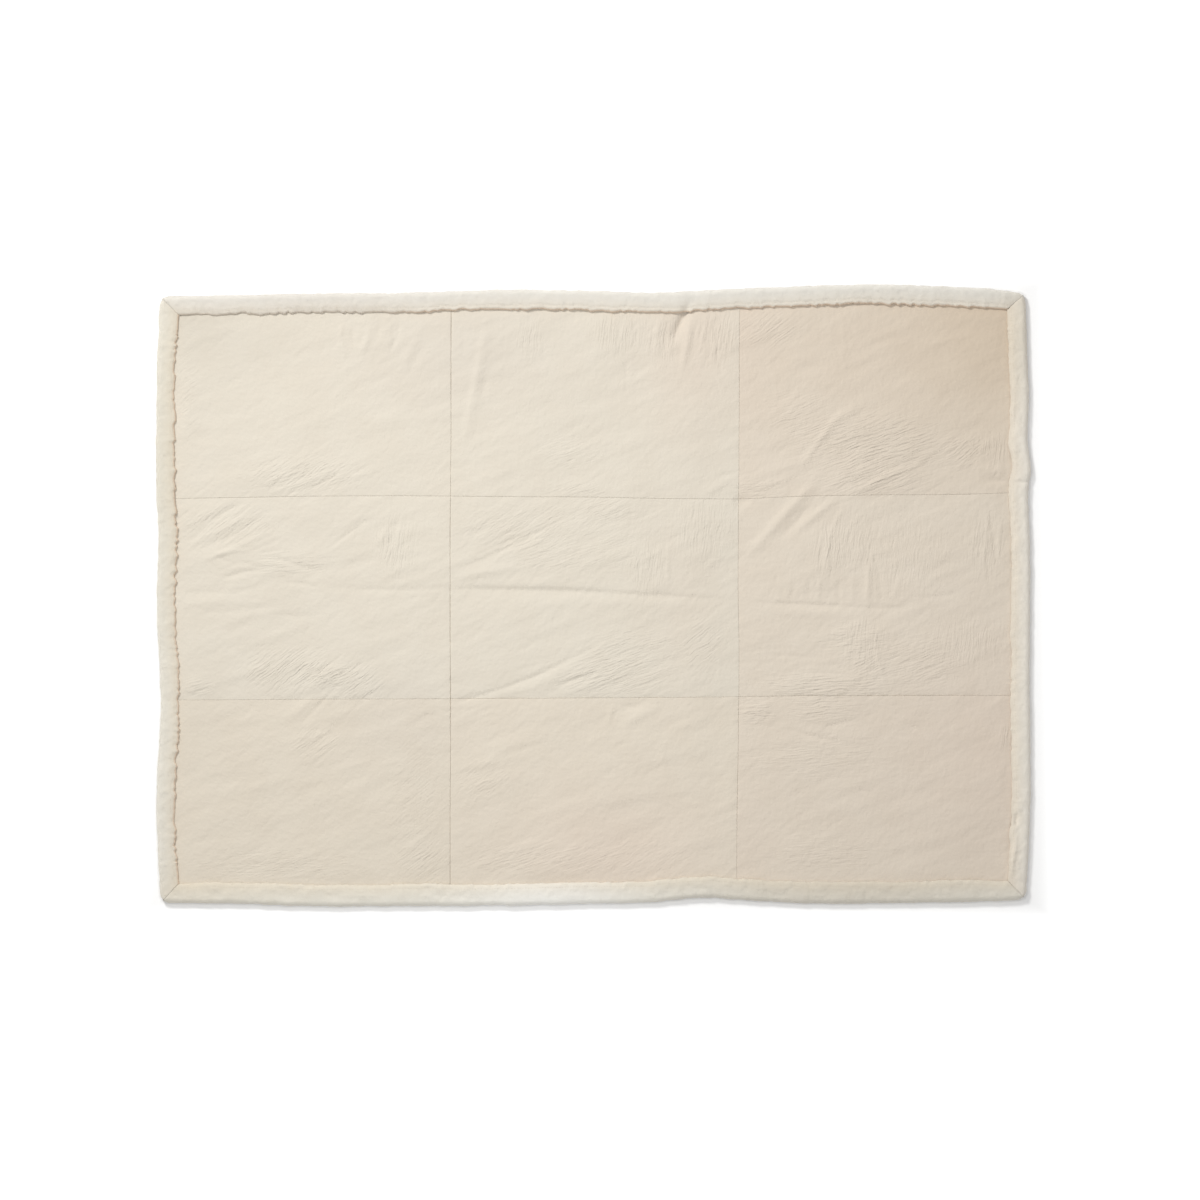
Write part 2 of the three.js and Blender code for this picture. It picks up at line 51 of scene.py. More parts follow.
# Driving sizes of the whole throw. GAP is the play at each seam, NOSE is how far the border's
# wool stands out past the panels, and ROLL_RADIUS is that of its rounded outer edge.
LENGTH = 2000
WIDTH = 1400
PANELS_ALONG = 3
PANELS_ACROSS = 3
SKIN = 1.2
PILE = 10.8
PANEL_TOP = PILE + SKIN
GAP = 0.3
NOSE = 10
BORDER_TOP = 21
ROLL_RADIUS = 12
CORNER_LEAF = 45

# The skin of a panel: the spacing of its points, and how it rolls down into a seam. The wool
# under it has one point for COARSE of the skin's. No ridge rises within BARE_RIDGES of the
# throw's edge, and no point lies further than MOST_DRIFT off the straight pattern.
SKIN_STEP = 3.4
SEAM_STEPS = (0, 0.6, 1.3, 2.2, 3.6)
SEAM_ROLL = 2.2
SEAM_SPREAD = 8
PUCKER_HEIGHT = 0.16
PUCKER_LENGTH = 13
PUCKER_SPREAD = 9
COARSE = 4
BARE_RIDGES = (50, 74)
CREASE_DEPTH = 1.25
DIP_SPREAD = 5
WOOL_CLEARANCE = 0.05
MOST_DRIFT = 20

# Lumps laid over one another, each with its height, its size and the number that fixes it.
SKIN_LUMPS = ((0.2, 17, 23), (0.3, 46, 29))
FLOOR_LUMPS = ((0.6, 24, 31), (0.5, 13, 37))
FLOOR_LEVEL = 0.9
CUT_LUMPS = ((0.9, 38, 43), (1.2, 15, 47), (1.7, 7, 53))
WOOL_LUMPS = ((0.8, 35, 101), (0.75, 16, 103), (0.45, 8, 107))
LIP_LUMPS = ((0.8, 10, 109),)
CURLS = ((0.35, 5.5, 113),)
LUMP_PLACES = 64

# The border's strips: the flat width of one, the steps of its section, its lip and seams.
STATION_STEP = 3.1
ROLL_STEPS = 14
FLAT_STEPS = 12
LIP_STEPS = 6
LIP_DROP = 7.3
LIP_UNDERCUT = 1
LIP_TUCK = 12
LIP_CLEARANCE = 0.7
BARE_ROWS = 6
LIP_SWAY = 0.38
LIP_RUN = 42
STITCH_INSET = 10
GROOVE_WIDTH = 2.4
CORNER_SPREAD = 150
MITRE_SPREAD = 120
MITRE_GAP = 0.08
MITRE_DROP = 0.25
MITRE_WIDTH = 4
CORNER_PULL = 5
CORNER_ROUND = 11
FOLD_SHARE_ON_BORDER = 0.6

# Loose fibres of the border's wool, and the stitches of the seams and the border.
FIBRES_PER_SQUARE_METRE = 18000.0
FIBRE_LENGTH = 10
FIBRE_THICKNESS = 0.2
FIBRE_BEND = 28
FIBRE_LIFT = 0.08
FIBRE_CLEARANCE = 4
FIBRE_SIZES = (0.7, 1.3)
SEAM_PITCH = 4
SEAM_STITCH = (2.6, 0.55)
SEAM_SLANT = 32
SHOULDER = 2
BORDER_PITCH = 6.5
BORDER_STITCH = (4.2, 0.7)
STITCH_STRAY = 0.09
STITCH_SIZES = (0.85, 1.15)
STRAY_SEED = 61

# The photographed frame: its size in the photo's pixels, the pixel on which the middle of the
# throw lies, the size of one pixel, and the camera's lens and sensor.
PHOTO_PIXELS = 1200
MIDDLE_PIXEL = (593.5, 595.5)
PIXEL = 2.3
LENS = 150
SENSOR = 36
LAMP_COLOUR = (1.0, 0.995, 0.985)

# How far the floor reaches each way, so that no view shows its end, how much it glows under
# the throw and away from it, and where that changes, as shares of half the throw's size.
FLOOR = 30000
GLOW = (0.11, 0.6)
GLOW_RIM = (1.0, 1.13)

# How far the four lines that run along X lie above their straight places: at each x, the
# bottom edge, the lower seam, the upper seam and the top edge.
LINES_ALONG = np.array([
    (-1000, -6, -7, -11, -12),
    (-820, -8, -6, -8, -9),
    (-650, -14, -5, -5, -6),
    (-430, -13, -4, -4, -4),
    (-215, -12, -3, -6, 3),
    (0, -8, -2, -7, 0),
    (140, -4, -1, -10, -4),
    (250, 6, 0, -11, 1),
    (340, 1, 1, -11, 5),
    (480, -7, 3, -5, 11),
    (660, -7, 3, -2, 15),
    (830, -4, 4, -1, 10),
    (940, -1, 4, 2, 3),
    (1000, 2, 4, 3, -5),
], float)

# How far the four lines that run along Y lie to the right of their straight places: at each
# y, the left edge, the left seam, the right seam and the right edge.
LINES_ACROSS = np.array([
    (-700, 6, 4, -4, -6),
    (-590, -1, 4, -4, 0),
    (-480, -4, 4, -3, 4),
    (-370, -1, 5, -1, 4),
    (-285, 5, 5, 0, 3),
    (-205, 4, 5, 1, 2),
    (-90, -1, 4, 1, 3),
    (20, -3, 4, -1, 4),
    (155, 0, 4, 0, 2),
    (240, -4, 5, 0, -1),
    (290, -5, 5, 1, 5),
    (350, -5, 6, 1, -2),
    (470, -4, 6, 2, 1),
    (570, -2, 6, 2, -4),
    (700, 5, 7, 3, -7),
], float)


def table(kind, *rows):
    """Rows of plain values, each given the names of its columns."""
    return [kind(*row) for row in rows]


# Creases pressed into the skin. x and y are the crease's middle, heading is the way
# it runs, in degrees up from +X, and bend is how far that way turns from end to end. width
# is the distance from the crest at which it has nearly gone, height is below nought for a
# trough, and lean widens the side to the left of its heading and narrows the other.
Crease = namedtuple("Crease", "x y length heading bend width height lean", defaults=(0,))
CREASES = table(
    Crease,
    # Top left panel: gathers below the border.
    (-450, 599, 80, 80, 52, 6, -1.8),
    (-581, 587, 90, -83, 76, 8, 1.3),
    (-553, 599, 70, 88, -38, 7, -1.2),
    (-523, 582, 80, 69, 17, 8, 1.5),
    (-495, 608, 70, 77, 11, 7, -1),
    (-420, 564, 115, 61, 7, 9, 0.9),
    (-406, 546, 115, 63, -6, 9, -0.9),
    (-459, 598, 95, 88, 34, 4, -1.3),
    # Top left panel: wrinkles above the seam.
    (-627, 257, 110, 24, 20, 5, -1.4),
    (-638, 272, 110, 27, 16, 6, 1.1),
    (-540, 287, 75, 27, -29, 5, -0.8),
    (-725, 269, 105, 25, -14, 6, 1),
    (-898, 365, 70, 0, 76, 14, -0.9),
    (-921, 404, 60, 0, 71, 12, 0.8),
    # Top middle panel: a long soft ridge.
    (-271, 491, 310, 79, 2, 12, 2.1, -0.35),
    (-300, 565, 70, 75, 17, 10, -0.9),
    (-251, 484, 70, 77, 11, 9, -1),
    # Top middle panel: a deep fold that pushes into the border, with its gathers.
    (204, 634, 120, 66, 2, 10, -7),
    (215, 576, 135, 81, 12, 8, 2.2),
    (144, 595, 80, 85, -33, 8, 1.5),
    (169, 593, 70, 83, 15, 6, -1),
    (254, 601, 85, 81, 14, 6, 0.9),
    (289, 252, 90, 29, -22, 11, 1.7),
    (307, 277, 55, 18, 9, 5, -0.9),
    # Top right panel: ridges that climb from the seams.
    (400, 283, 190, 18, 8, 12, 1.6),
    (523, 360, 185, 53, -6, 8, 1.9),
    (590, 424, 110, 35, -8, 12, 1.3),
    (409, 257, 120, 16, 19, 10, 1.7),
    (436, 182, 265, 48, 3, 12, 3.1),
    (470, 174, 145, 47, 22, 7, -1.4),
    (512, 186, 155, 40, 0, 9, 2.2),
    (643, 258, 180, 28, 0, 9, 1.6),
    (768, 322, 210, 38, 4, 5, 0.5),
    (778, 316, 200, 38, 4, 4, -0.5),
    (705, 284, 135, 20, 0, 6, 1),
    (914, 288, 90, -12, 2, 11, 2.2),
    (926, 263, 65, -2, 9, 7, -1.8),
    (342, 217, 45, 0, 23, 12, -2.2),
    # Top right panel: slight ones.
    (574, 564, 170, 89, -3, 7, 0.4),
    (500, 521, 110, 11, 3, 13, -1.1),
    (475, 544, 85, 8, -6, 11, 0.8),
    (810, 586, 155, 16, 2, 10, 1),
    (662, 584, 110, 17, -35, 10, -0.7),
    # Middle left panel: waves, arcs and a crease.
    (-853, 187, 150, 32, -19, 7, -1.5),
    (-880, 194, 140, 30, -15, 8, 1.3),
    (-847, 157, 185, 27, -8, 8, 1.3),
    (-833, 138, 220, 25, -1, 7, -1.2),
    (-815, 114, 210, 24, 15, 7, 1.1),
    (-843, 99, 115, 12, -32, 6, 1.5),
    (-803, 54, 130, 11, -34, 6, -1.9),
    (-681, 70, 120, -14, -4, 6, -1.9),
    (-678, 28, 95, -5, -17, 6, -1.4),
    (-560, 144, 145, 36, -5, 4, -1.4),
    (-553, 172, 115, 38, 2, 6, 0.8),
    (-477, 151, 85, 68, 30, 7, 1),
    (-460, 136, 85, 70, 28, 6, -0.9),
    # Middle left panel: creases that cross the lower seam.
    (-613, -189, 140, 34, -2, 8, 1.1),
    (-622, -243, 150, 46, 0, 4, -1.3),
    (-545, -256, 90, 46, 0, 4, -0.7),
    (-671, -259, 105, 39, 3, 8, 1.1),
    # The long level fold along which the whole throw was folded away.
    (-881, 6, 160, 0, 7, 9, -0.9),
    (-469, 13, 300, 0, 10, 7, -1.4),
    (-862, -14, 165, 8, 10, 10, 1),
    (-800, -33, 200, 6, 8, 8, -0.9),
    (-690, -47, 120, -3, 6, 7, -0.9),
    (-152, 13, 430, -1, 0, 13, -3, -0.5),
    (120, 2, 430, -3, -2, 8, -1.7, -0.4),
    (21, -16, 450, 0, -5, 14, 0.6),
    (-243, 55, 150, 11, -4, 11, 2.2),
    (488, -20, 260, -3, -2, 7, -1.8, -0.4),
    (465, -140, 150, -4, 0, 5, -0.9),
    (520, -178, 110, -2, 0, 4, -0.7),
    (659, -29, 140, -1, 4, 6, -1.2),
    (513, -40, 235, -2, -6, 10, 0.9),
    (797, -1, 95, 9, 0, 6, -1.2),
    # Centre panel: fans of creases above and below the long fold.
    (-213, 103, 230, 25, 4, 5, -1.2),
    (-95, 163, 200, 28, 0, 4, -0.6),
    (-230, 132, 170, 31, -4, 7, 0.6),
    (-166, 108, 115, 20, 0, 7, 0.6),
    (-178, 154, 205, 29, -8, 4, -0.4),
    (32, 191, 140, 23, -13, 6, 0.5),
    (49, 173, 135, 24, -6, 5, -0.5),
    (-67, 104, 120, 16, -24, 7, 0.5),
    (-150, -192, 400, 22, 20, 6, -2),
    (-106, -200, 230, 18, 19, 10, 1.3),
    (-47, -195, 120, 14, 8, 4, -1.4),
    (-85, -180, 120, 24, 6, 7, 1.1),
    (-13, -208, 135, 20, 6, 7, 0.8),
    (171, 71, 100, 89, 5, 4, 0.6),
    (139, 67, 100, 86, 4, 4, -0.4),
    (126, 99, 65, -63, -33, 5, 0.7),
    (257, -111, 45, 43, 9, 5, 0.4),
    # Middle right panel: ripples on the long fold, and a crumple.
    (631, 26, 110, 88, 0, 7, 1.9),
    (659, 22, 85, -85, 6, 6, -1.1),
    (543, 130, 175, 76, -45, 6, 1.2),
    (562, 6, 60, -90, 35, 7, -1),
    (595, 16, 75, 88, -6, 6, 0.9),
    (516, 10, 60, 86, -50, 7, 0.9),
    (697, 22, 70, 72, -12, 6, 0.9),
    (655, -144, 140, -77, 6, 5, 1),
    (903, 130, 150, 84, 22, 5, 1),
    (918, 122, 125, 97, -14, 4, -0.9),
    (933, 138, 120, 86, 0, 5, 0.8),
    (597, -117, 100, 85, -12, 6, -0.7),
    # Bottom row.
    (-628, -332, 85, 33, -3, 7, -1.2),
    (-625, -318, 65, 33, 2, 7, 1),
    (-556, -391, 105, 15, -5, 8, 0.8),
    (-393, -557, 130, 39, 24, 9, 0.8),
    (108, -274, 105, 24, -9, 13, 2),
    (87, -256, 50, 3, 72, 9, -1.3),
    (38, -276, 60, 77, -2, 6, 1.2),
    (-168, -355, 160, 17, -4, 8, -0.8),
    (-249, -386, 75, 20, 12, 8, 0.8),
    (517, -327, 145, -13, 20, 5, -1.6),
    (565, -295, 90, 13, 3, 5, -1.4),
    (743, -304, 65, -27, -32, 5, -1.1),
    (376, -257, 70, 17, -3, 8, 1.3),
    (161, -387, 85, -78, 4, 9, 0.7),
    # Wool of the border: a slit, a pit and a ridge near the bottom right corner.
    (985, 260, 70, 0, 0, 4, -4),
    (971, -516, 36, 82, 10, 4, -7),
    (963, -606, 120, 80, 8, 5, 4.6),
    (957, -470, 130, 88, -4, 5, 2.4),
    (958, -300, 170, 91, 5, 5, 1.8),
    (959, -60, 150, 89, -4, 5, 1.4),
    # Broad soft folds over the whole width, left from being folded away.
    (222, 0, 1500, 90, 0, 60, 1.6),
    (-415, -330, 700, 90, 0, 55, 1.2),
)

# How wide the wrinkles of a patch are strewn, as a share of its reach, how far they bend, and
# how much their lengths, widths and depths differ, as shares of the patch's own.
WRINKLE_SPREAD = 0.55
WRINKLE_BEND = 18
WRINKLE_LENGTHS = (0.6, 1.5)
WRINKLE_WIDTHS = (0.8, 1.3)
WRINKLE_DEPTHS = (0.4, 1.2)
WRINKLE_SEED = 41

# Patches of fine wrinkles. reach_x and reach_y are half the patch's size, scatter is how far
# the headings stray, and count is the number of wrinkles. length, width and depth are those
# of one wrinkle.
Patch = namedtuple("Patch", "x y reach_x reach_y heading scatter count length width depth")
PATCHES = table(
    Patch,
    (-665, 285, 150, 50, 27, 10, 81, 50, 3, 0.39),
    (-25, 325, 110, 50, 25, 25, 68, 26, 3.4, 0.2),
    (85, 600, 50, 50, 92, 6, 22, 90, 3.4, 0.44),
    (275, 570, 50, 65, 78, 12, 35, 55, 3.4, 0.44),
    (415, 620, 90, 55, 38, 15, 68, 30, 3, 0.25),
    (660, 325, 160, 45, 21, 8, 110, 60, 3.4, 0.3),
    (615, 255, 140, 30, 27, 7, 55, 90, 3.4, 0.36),
    (885, 345, 40, 45, 95, 12, 34, 40, 3, 0.28),
    (910, 290, 35, 30, 70, 12, 22, 35, 3, 0.33),
    (-870, 160, 105, 65, 34, 6, 35, 90, 4.5, 0.55),
    (-765, 70, 105, 55, 5, 15, 19, 90, 4.5, 0.44),
    (-460, 115, 50, 55, 75, 15, 27, 35, 3.4, 0.33),
    (-650, -185, 125, 50, 38, 8, 68, 55, 3.4, 0.39),
    (-190, 130, 105, 50, 29, 6, 54, 70, 3.4, 0.44),
    (15, 185, 80, 30, 27, 8, 32, 50, 3, 0.44),
    (155, 80, 45, 65, 88, 20, 54, 35, 3, 0.33),
    (15, -175, 140, 40, 23, 8, 110, 60, 3.4, 0.3),
    (220, -125, 55, 80, 45, 25, 68, 25, 3, 0.28),
    (615, -130, 85, 55, 14, 12, 110, 30, 3.4, 0.26),
    (590, -125, 85, 55, 75, 15, 40, 30, 3, 0.28),
    (450, -170, 105, 50, 7, 8, 60, 60, 3.4, 0.26),
    (625, 115, 105, 65, 85, 15, 81, 40, 3.4, 0.3),
    (910, 115, 30, 70, 82, 8, 35, 60, 3, 0.39),
    (500, 15, 115, 20, 78, 8, 19, 45, 4.5, 0.55),
    (795, -125, 105, 70, 30, 40, 81, 25, 3, 0.22),
    (370, -270, 30, 30, 15, 8, 27, 40, 3, 0.5),
    (590, -330, 230, 80, 2, 10, 94, 50, 3, 0.25),
    (475, -575, 140, 55, 8, 15, 81, 35, 3, 0.22),
    (-675, -605, 255, 45, 20, 15, 108, 40, 3, 0.25),
    (-390, -595, 45, 35, 44, 10, 27, 45, 3.8, 0.18),
    (-630, -320, 80, 45, 35, 10, 40, 40, 3.8, 0.22),
    (-110, -615, 185, 45, 25, 18, 108, 40, 3, 0.3),
    (-260, -445, 55, 80, 30, 15, 54, 35, 3, 0.22),
    (-295, -265, 70, 25, 20, 8, 19, 40, 3, 0.44),
    (-930, 460, 25, 125, 40, 10, 81, 18, 3, 0.19),
    (0, 0, 950, 650, 22, 38, 1500, 32, 4, 0.26),
)

# Soft streaks over all the skin, and the number that fixes how each kind is strewn.
Streaks = namedtuple("Streaks", "heading length width height seed")
STREAKS = table(
    Streaks,
    (22, 95, 17, 0.5, 71),
    (9, 130, 26, 0.6, 73),
    (41, 60, 11, 0.26, 79),
)

# Areas of fine ripples, each with the way they run and how plain they are. The ripples of
# an area are shared out among the four headings of the material, by how near they are.
Ripples = namedtuple("Ripples", "x y reach_x reach_y heading strength")
RIPPLES = table(
    Ripples,
    (-665, 280, 130, 42, 30, 0.7),
    (-840, 165, 110, 50, 35, 0.4),
    (-700, 75, 90, 30, 5, 0.4),
    (-455, 115, 45, 65, 75, 0.5),
    (-148, 590, 30, 45, 85, 0.4),
    (-60, 330, 80, 40, 22, 0.3),
    (-40, 245, 70, 18, 20, 0.5),
    (-150, 165, 150, 50, 30, 0.5),
    (-90, 90, 100, 40, 22, 0.35),
    (45, 605, 55, 50, 90, 0.45),
    (160, 590, 45, 55, 84, 0.5),
    (285, 590, 50, 60, 80, 0.45),
    (400, 612, 75, 42, 40, 0.45),
    (640, 348, 150, 68, 17, 0.9),
    (640, 262, 120, 30, 24, 0.65),
    (850, 332, 50, 42, 32, 0.6),
    (915, 338, 40, 45, 90, 0.4),
    (470, 420, 70, 50, 20, 0.4),
    (380, 245, 60, 25, 10, 0.5),
    (535, 110, 35, 60, 80, 0.4),
    (590, 130, 45, 65, 70, 0.3),
    (710, 90, 110, 85, 86, 0.28),
    (905, 110, 50, 75, 82, 0.35),
    (30, 200, 60, 28, 25, 0.5),
    (125, 60, 45, 65, 80, 0.4),
    (50, 110, 60, 55, 15, 0.3),
    (250, 150, 80, 75, 88, 0.35),
    (-700, -170, 110, 48, 37, 0.7),
    (-600, -183, 50, 26, 15, 0.7),
    (-535, -198, 50, 38, 42, 0.6),
    (-635, -340, 60, 40, 38, 0.4),
    (-410, -470, 65, 160, 60, 0.3),
    (-720, -620, 200, 36, 12, 0.45),
    (-390, -612, 60, 42, 42, 0.35),
    (-130, -605, 170, 42, 25, 0.4),
    (-250, -420, 60, 55, 30, 0.4),
    (40, -185, 130, 42, 17, 0.6),
    (90, -118, 110, 45, 15, 0.45),
    (250, -110, 50, 60, 45, 0.4),
    (595, -100, 75, 45, 9, 0.5),
    (620, -105, 55, 60, 80, 0.35),
    (530, -205, 140, 28, 3, 0.65),
    (630, -160, 50, 28, 28, 0.6),
    (750, -150, 90, 65, 15, 0.5),
    (860, -110, 95, 60, 80, 0.35),
    (373, -268, 38, 32, 10, 0.7),
    (520, -260, 80, 28, 3, 0.5),
    (500, -370, 165, 48, 5, 0.35),
    (530, -590, 130, 45, 5, 0.3),
    (945, -320, 16, 38, 88, 0.35),
    (120, -600, 125, 48, 30, 0.3),
    (-930, 480, 25, 120, 40, 0.35),
    (-910, -210, 40, 20, 20, 0.5),
)
RIPPLE_HEADINGS = (4, 20, 38, 84)
RIPPLE_TURN = 11
RIPPLE_SIZE = (44, 4.4)
RIPPLE_HEIGHT = 5.6
CRUMPLE_HEIGHT = 1.6

# Long low waves of the whole throw: height, length along X and along Y, and turn in radians.
WAVES = [(0.7, 640, 900, 0.4), (0.5, 410, -530, 2.1), (0.4, -290, 350, 4.4)]
LEAF_WAVES = [(0.7, 310, 270, 0.7), (0.5, 171, -153, 5.1)]

# How deep each seam draws down the skin before it and after it, where before is to the left
# or below, and how deep its tight roll is.
Seam = namedtuple("Seam", "before after roll")
UPRIGHT_SEAMS = [Seam(0.6, 0.5, 1.1), Seam(0.8, 0.3, 0.15)]
LEVEL_SEAMS = [Seam(0.6, 1.5, 0.15), Seam(0.6, 0.6, 0.12)]

# The border's sides: the corner where each starts, the way it runs, its leaf's width, how
# wide its lip is and how much wider it grows over its last part, how deep its stitches draw
# the wool in, how deep it presses the skin, how rough its cut edge is, how plainly the edge
# shows the browner skin, which is partly painted shade along the top and left lips, how much
# painted shade darkens its wool just before the lip, and its wool's tint, which is painted
# light and shade: lighter on the bottom and right strips, darker on the top and left ones.
Side = namedtuple(
    "Side", "name start_x start_y along_x along_y leaf lip widen groove dip rough edge dull tint"
)
BORDER_SIDES = table(
    Side,
    ("border_bottom", -1, -1, 1, 0, 49, 14, 0, 0.4, 0.1, 0.7, 0, 0.03, (1.02, 1.015, 0.96)),
    ("border_right", 1, -1, 0, 1, 44, 15, 0, 0.15, 0.4, 0.9, 0, 0.09, (1.08, 1.06, 1.01)),
    ("border_top", 1, 1, -1, 0, 45, 7, 1.2, 1.3, 0.4, 1.5, 0.9, 0, (0.97, 0.97, 0.945)),
    ("border_left", -1, 1, 0, -1, 43, 14, 0, 0.15, 0, 1.8, 0.9, 0, (0.985, 0.975, 0.92)),
)

# Where along a strip its lip starts and ends to widen, how far it sinks with that, and how
# far the browner edge, which is partly painted shade, fades.
LIP_WIDENS = (1380, 1520)
LIP_SINK = 0.8
EDGE_FADE = 0.6

# How the hides' colours differ, as a share of the common red, green and blue. This is partly
# the hides' own tones and partly painted light: the hides on the right are darker and warmer,
# standing in for the dimmer, warmer light on that side.
PALE = (1, 1, 1)
CREAM = (1, 0.98, 0.965)
SAND = (0.985, 0.948, 0.933)
HIDE_TONES_AND_PAINTED_LIGHT = {
    "top_right": SAND,
    "middle_right": (0.995, 0.965, 0.953),
    "bottom_left": (0.99, 0.972, 0.955),
    "bottom_middle": CREAM,
    "bottom_right": SAND,
}

# Soft patches of colour in the hides, each with the red, green and blue that it leaves at its
# middle. They are partly painted shade: the darker patches at the top corners and the warmer,
# darker ones on the right side stand in for less light, and warmer light, there.
Tinge = namedtuple("Tinge", "x y reach_x reach_y red green blue")
STAINS_AND_PAINTED_SHADE = table(
    Tinge,
    (-930, 640, 190, 130, 0.91, 0.91, 0.91),
    (960, 640, 260, 280, 0.91, 0.86, 0.8),
    (560, 560, 260, 170, 0.98, 0.965, 0.95),
    (-900, -280, 150, 130, 0.98, 0.98, 0.98),
    (-440, -290, 130, 110, 0.97, 0.97, 0.98),
    (950, -350, 260, 300, 1, 0.975, 0.975),
    (230, 600, 130, 220, 0.985, 0.95, 0.945),
    (220, 0, 110, 200, 0.98, 0.965, 0.96),
    (50, -600, 250, 150, 1, 0.965, 0.965),
    (-300, 560, 260, 130, 0.965, 0.96, 0.97),
)
# Patches of colour in the border's wool, each with the red, green and blue that it leaves at its
# middle: whiter near the middle of the bottom, darker elsewhere. They are partly painted shade:
# the darker, warmer wool at the top right stands in for the dimmer, warmer light there.
WOOL_TINGES = table(
    Tinge,
    (-110, -695, 200, 60, 1.13, 1.16, 1.23),
    (590, -695, 400, 60, 0.87, 0.85, 0.83),
    (-950, -695, 200, 60, 0.97, 0.95, 0.92),
    (-700, 700, 380, 60, 0.94, 0.93, 0.93),
    (-1000, 350, 60, 450, 0.95, 0.94, 0.91),
    (1000, 620, 60, 160, 0.9, 0.88, 0.84),
)

# Colours of the finishes, before the tint of a hide or a strip.
SKIN_COLOUR = (0.780, 0.720, 0.615)
SKIN_BLOTCH = (0.767, 0.704, 0.598)
SKIN_WEAR = (0.60, 0.52, 0.42)
WOOL_OUTSIDE = (0.83, 0.80, 0.755)
WOOL_INSIDE = (0.81, 0.75, 0.67)
WOOL_SHADE = (0.80, 0.76, 0.69)
# Partly painted shade: this brown is laid only on the top and left lips, along the shadow line
# under them.
CUT_EDGE_AND_SHADE_BROWN = (0.80, 0.62, 0.46)
THREAD_DARK = (0.66, 0.58, 0.47)
THREAD_LIGHT = (0.76, 0.69, 0.58)

ROW_NAMES = ("bottom", "middle", "top")
COLUMN_NAMES = ("left", "middle", "right")


# The lie of the edges and seams

def smooth_line(line, at):
    """A smooth curve through a table, with the mean slope of the two spans at each row."""
    places, values = line[:, 0], line[:, 1:]
    spans = np.diff(places)
    secants = np.diff(values, axis=0) / spans[:, None]
    slopes = np.vstack([secants[:1], (secants[:-1] + secants[1:]) / 2, secants[-1:]])
    row = np.clip(np.searchsorted(places, at, side="right") - 1, 0, len(spans) - 1)
    share = ((at - places[row]) / spans[row])[..., None]
    span = spans[row][..., None]
    start = values[row] * (2 * share**3 - 3 * share**2 + 1)
    end = values[row + 1] * (3 * share**2 - 2 * share**3)
    start_slope = slopes[row] * span * (share**3 - 2 * share**2 + share)
    end_slope = slopes[row + 1] * span * (share**3 - share**2)
    return start + end + start_slope + end_slope


def shared_drift(drifts, share):
    """Shares the drift of the two lines on either side of a place. share runs from 0 to 3."""
    line = np.clip(np.floor(share).astype(int), 0, drifts.shape[-1] - 2)
    low = np.take_along_axis(drifts, line[..., None], -1)[..., 0]
    high = np.take_along_axis(drifts, line[..., None] + 1, -1)[..., 0]
    return low + (high - low) * (share - line)


def lay_uncentred(x, y):
    """Where points of the straight pattern lie, before the throw's box is centred."""
    x, y = np.broadcast_arrays(np.asarray(x, float), np.asarray(y, float))
    column_share = (x / LENGTH + 0.5) * PANELS_ALONG
    row_share = (y / WIDTH + 0.5) * PANELS_ACROSS
    right = shared_drift(smooth_line(LINES_ACROSS, y), column_share)
    up = shared_drift(smooth_line(LINES_ALONG, x), row_share)
    return x + right, y + up


def off_middle():
    """How far the laid outline's box lies off the middle of the pattern."""
    along = np.linspace(-LENGTH / 2, LENGTH / 2, 801)
    across = np.linspace(-WIDTH / 2, WIDTH / 2, 561)
    left, _ = lay_uncentred(-LENGTH / 2, across)
    right, _ = lay_uncentred(LENGTH / 2, across)
    _, bottom = lay_uncentred(along, -WIDTH / 2)
    _, top = lay_uncentred(along, WIDTH / 2)
    return (left.min() + right.max()) / 2, (bottom.min() + top.max()) / 2


MIDDLE_X, MIDDLE_Y = off_middle()


def lay(x, y):
    """Where points of the straight pattern lie on the throw, with its box centred."""
    laid_x, laid_y = lay_uncentred(x, y)
    return laid_x - MIDDLE_X, laid_y - MIDDLE_Y


# Relief

def waves_at(waves, x, y):
    """Long waves laid over one another: a height, two lengths and a turn for each."""
    return sum(
        height * np.sin(2 * math.pi * (x / length_x + y / length_y) + turn)
        for height, length_x, length_y, turn in waves
    )


def smoothstep(value, low, high):
    share = np.clip((value - low) / (high - low), 0, 1)
    return share * share * (3 - 2 * share)


def lumps(x, y, size, seed):
    """Soft even lumps between -1 and 1, about size across, the same for the same seed."""
    levels = np.random.default_rng(seed).uniform(-1, 1, (LUMP_PLACES, LUMP_PLACES))
    column, row = x / size, y / size
    left, low = np.floor(column).astype(int), np.floor(row).astype(int)
    across, up = column - left, row - low
    across, up = across**2 * (3 - 2 * across), up**2 * (3 - 2 * up)

    def corner(right, above):
        return levels[(left + right) % LUMP_PLACES, (low + above) % LUMP_PLACES]

    below = corner(0, 0) * (1 - across) + corner(1, 0) * across
    over = corner(0, 1) * (1 - across) + corner(1, 1) * across
    return below * (1 - up) + over * up


def layered(x, y, layers):
    """Lumps laid over one another: each layer is a height, a size and a seed."""
    return sum(height * lumps(x, y, size, seed) for height, size, seed in layers)


def streaks_at(streaks, x, y):
    """Soft lumps drawn out along a heading."""
    heading = math.radians(streaks.heading)
    along = (x * math.cos(heading) + y * math.sin(heading)) / streaks.length
    aside = (y * math.cos(heading) - x * math.sin(heading)) / streaks.width
    return streaks.height * lumps(along, aside, 1, streaks.seed)


def press(height, x, y, crease, profile):
    """Adds a crease to the heights of the points at x and y."""
    heading = math.radians(crease.heading)
    from_x, from_y = x - crease.x, y - crease.y
    along = from_x * math.cos(heading) + from_y * math.sin(heading)
    bow = math.radians(crease.bend) * along**2 / (2 * crease.length)
    side = from_y * math.cos(heading) - from_x * math.sin(heading) - bow
    run = np.clip(1 - (2 * along / crease.length) ** 2, 0, None)
    height += CREASE_DEPTH * crease.height * run * profile(side / crease.width, crease)


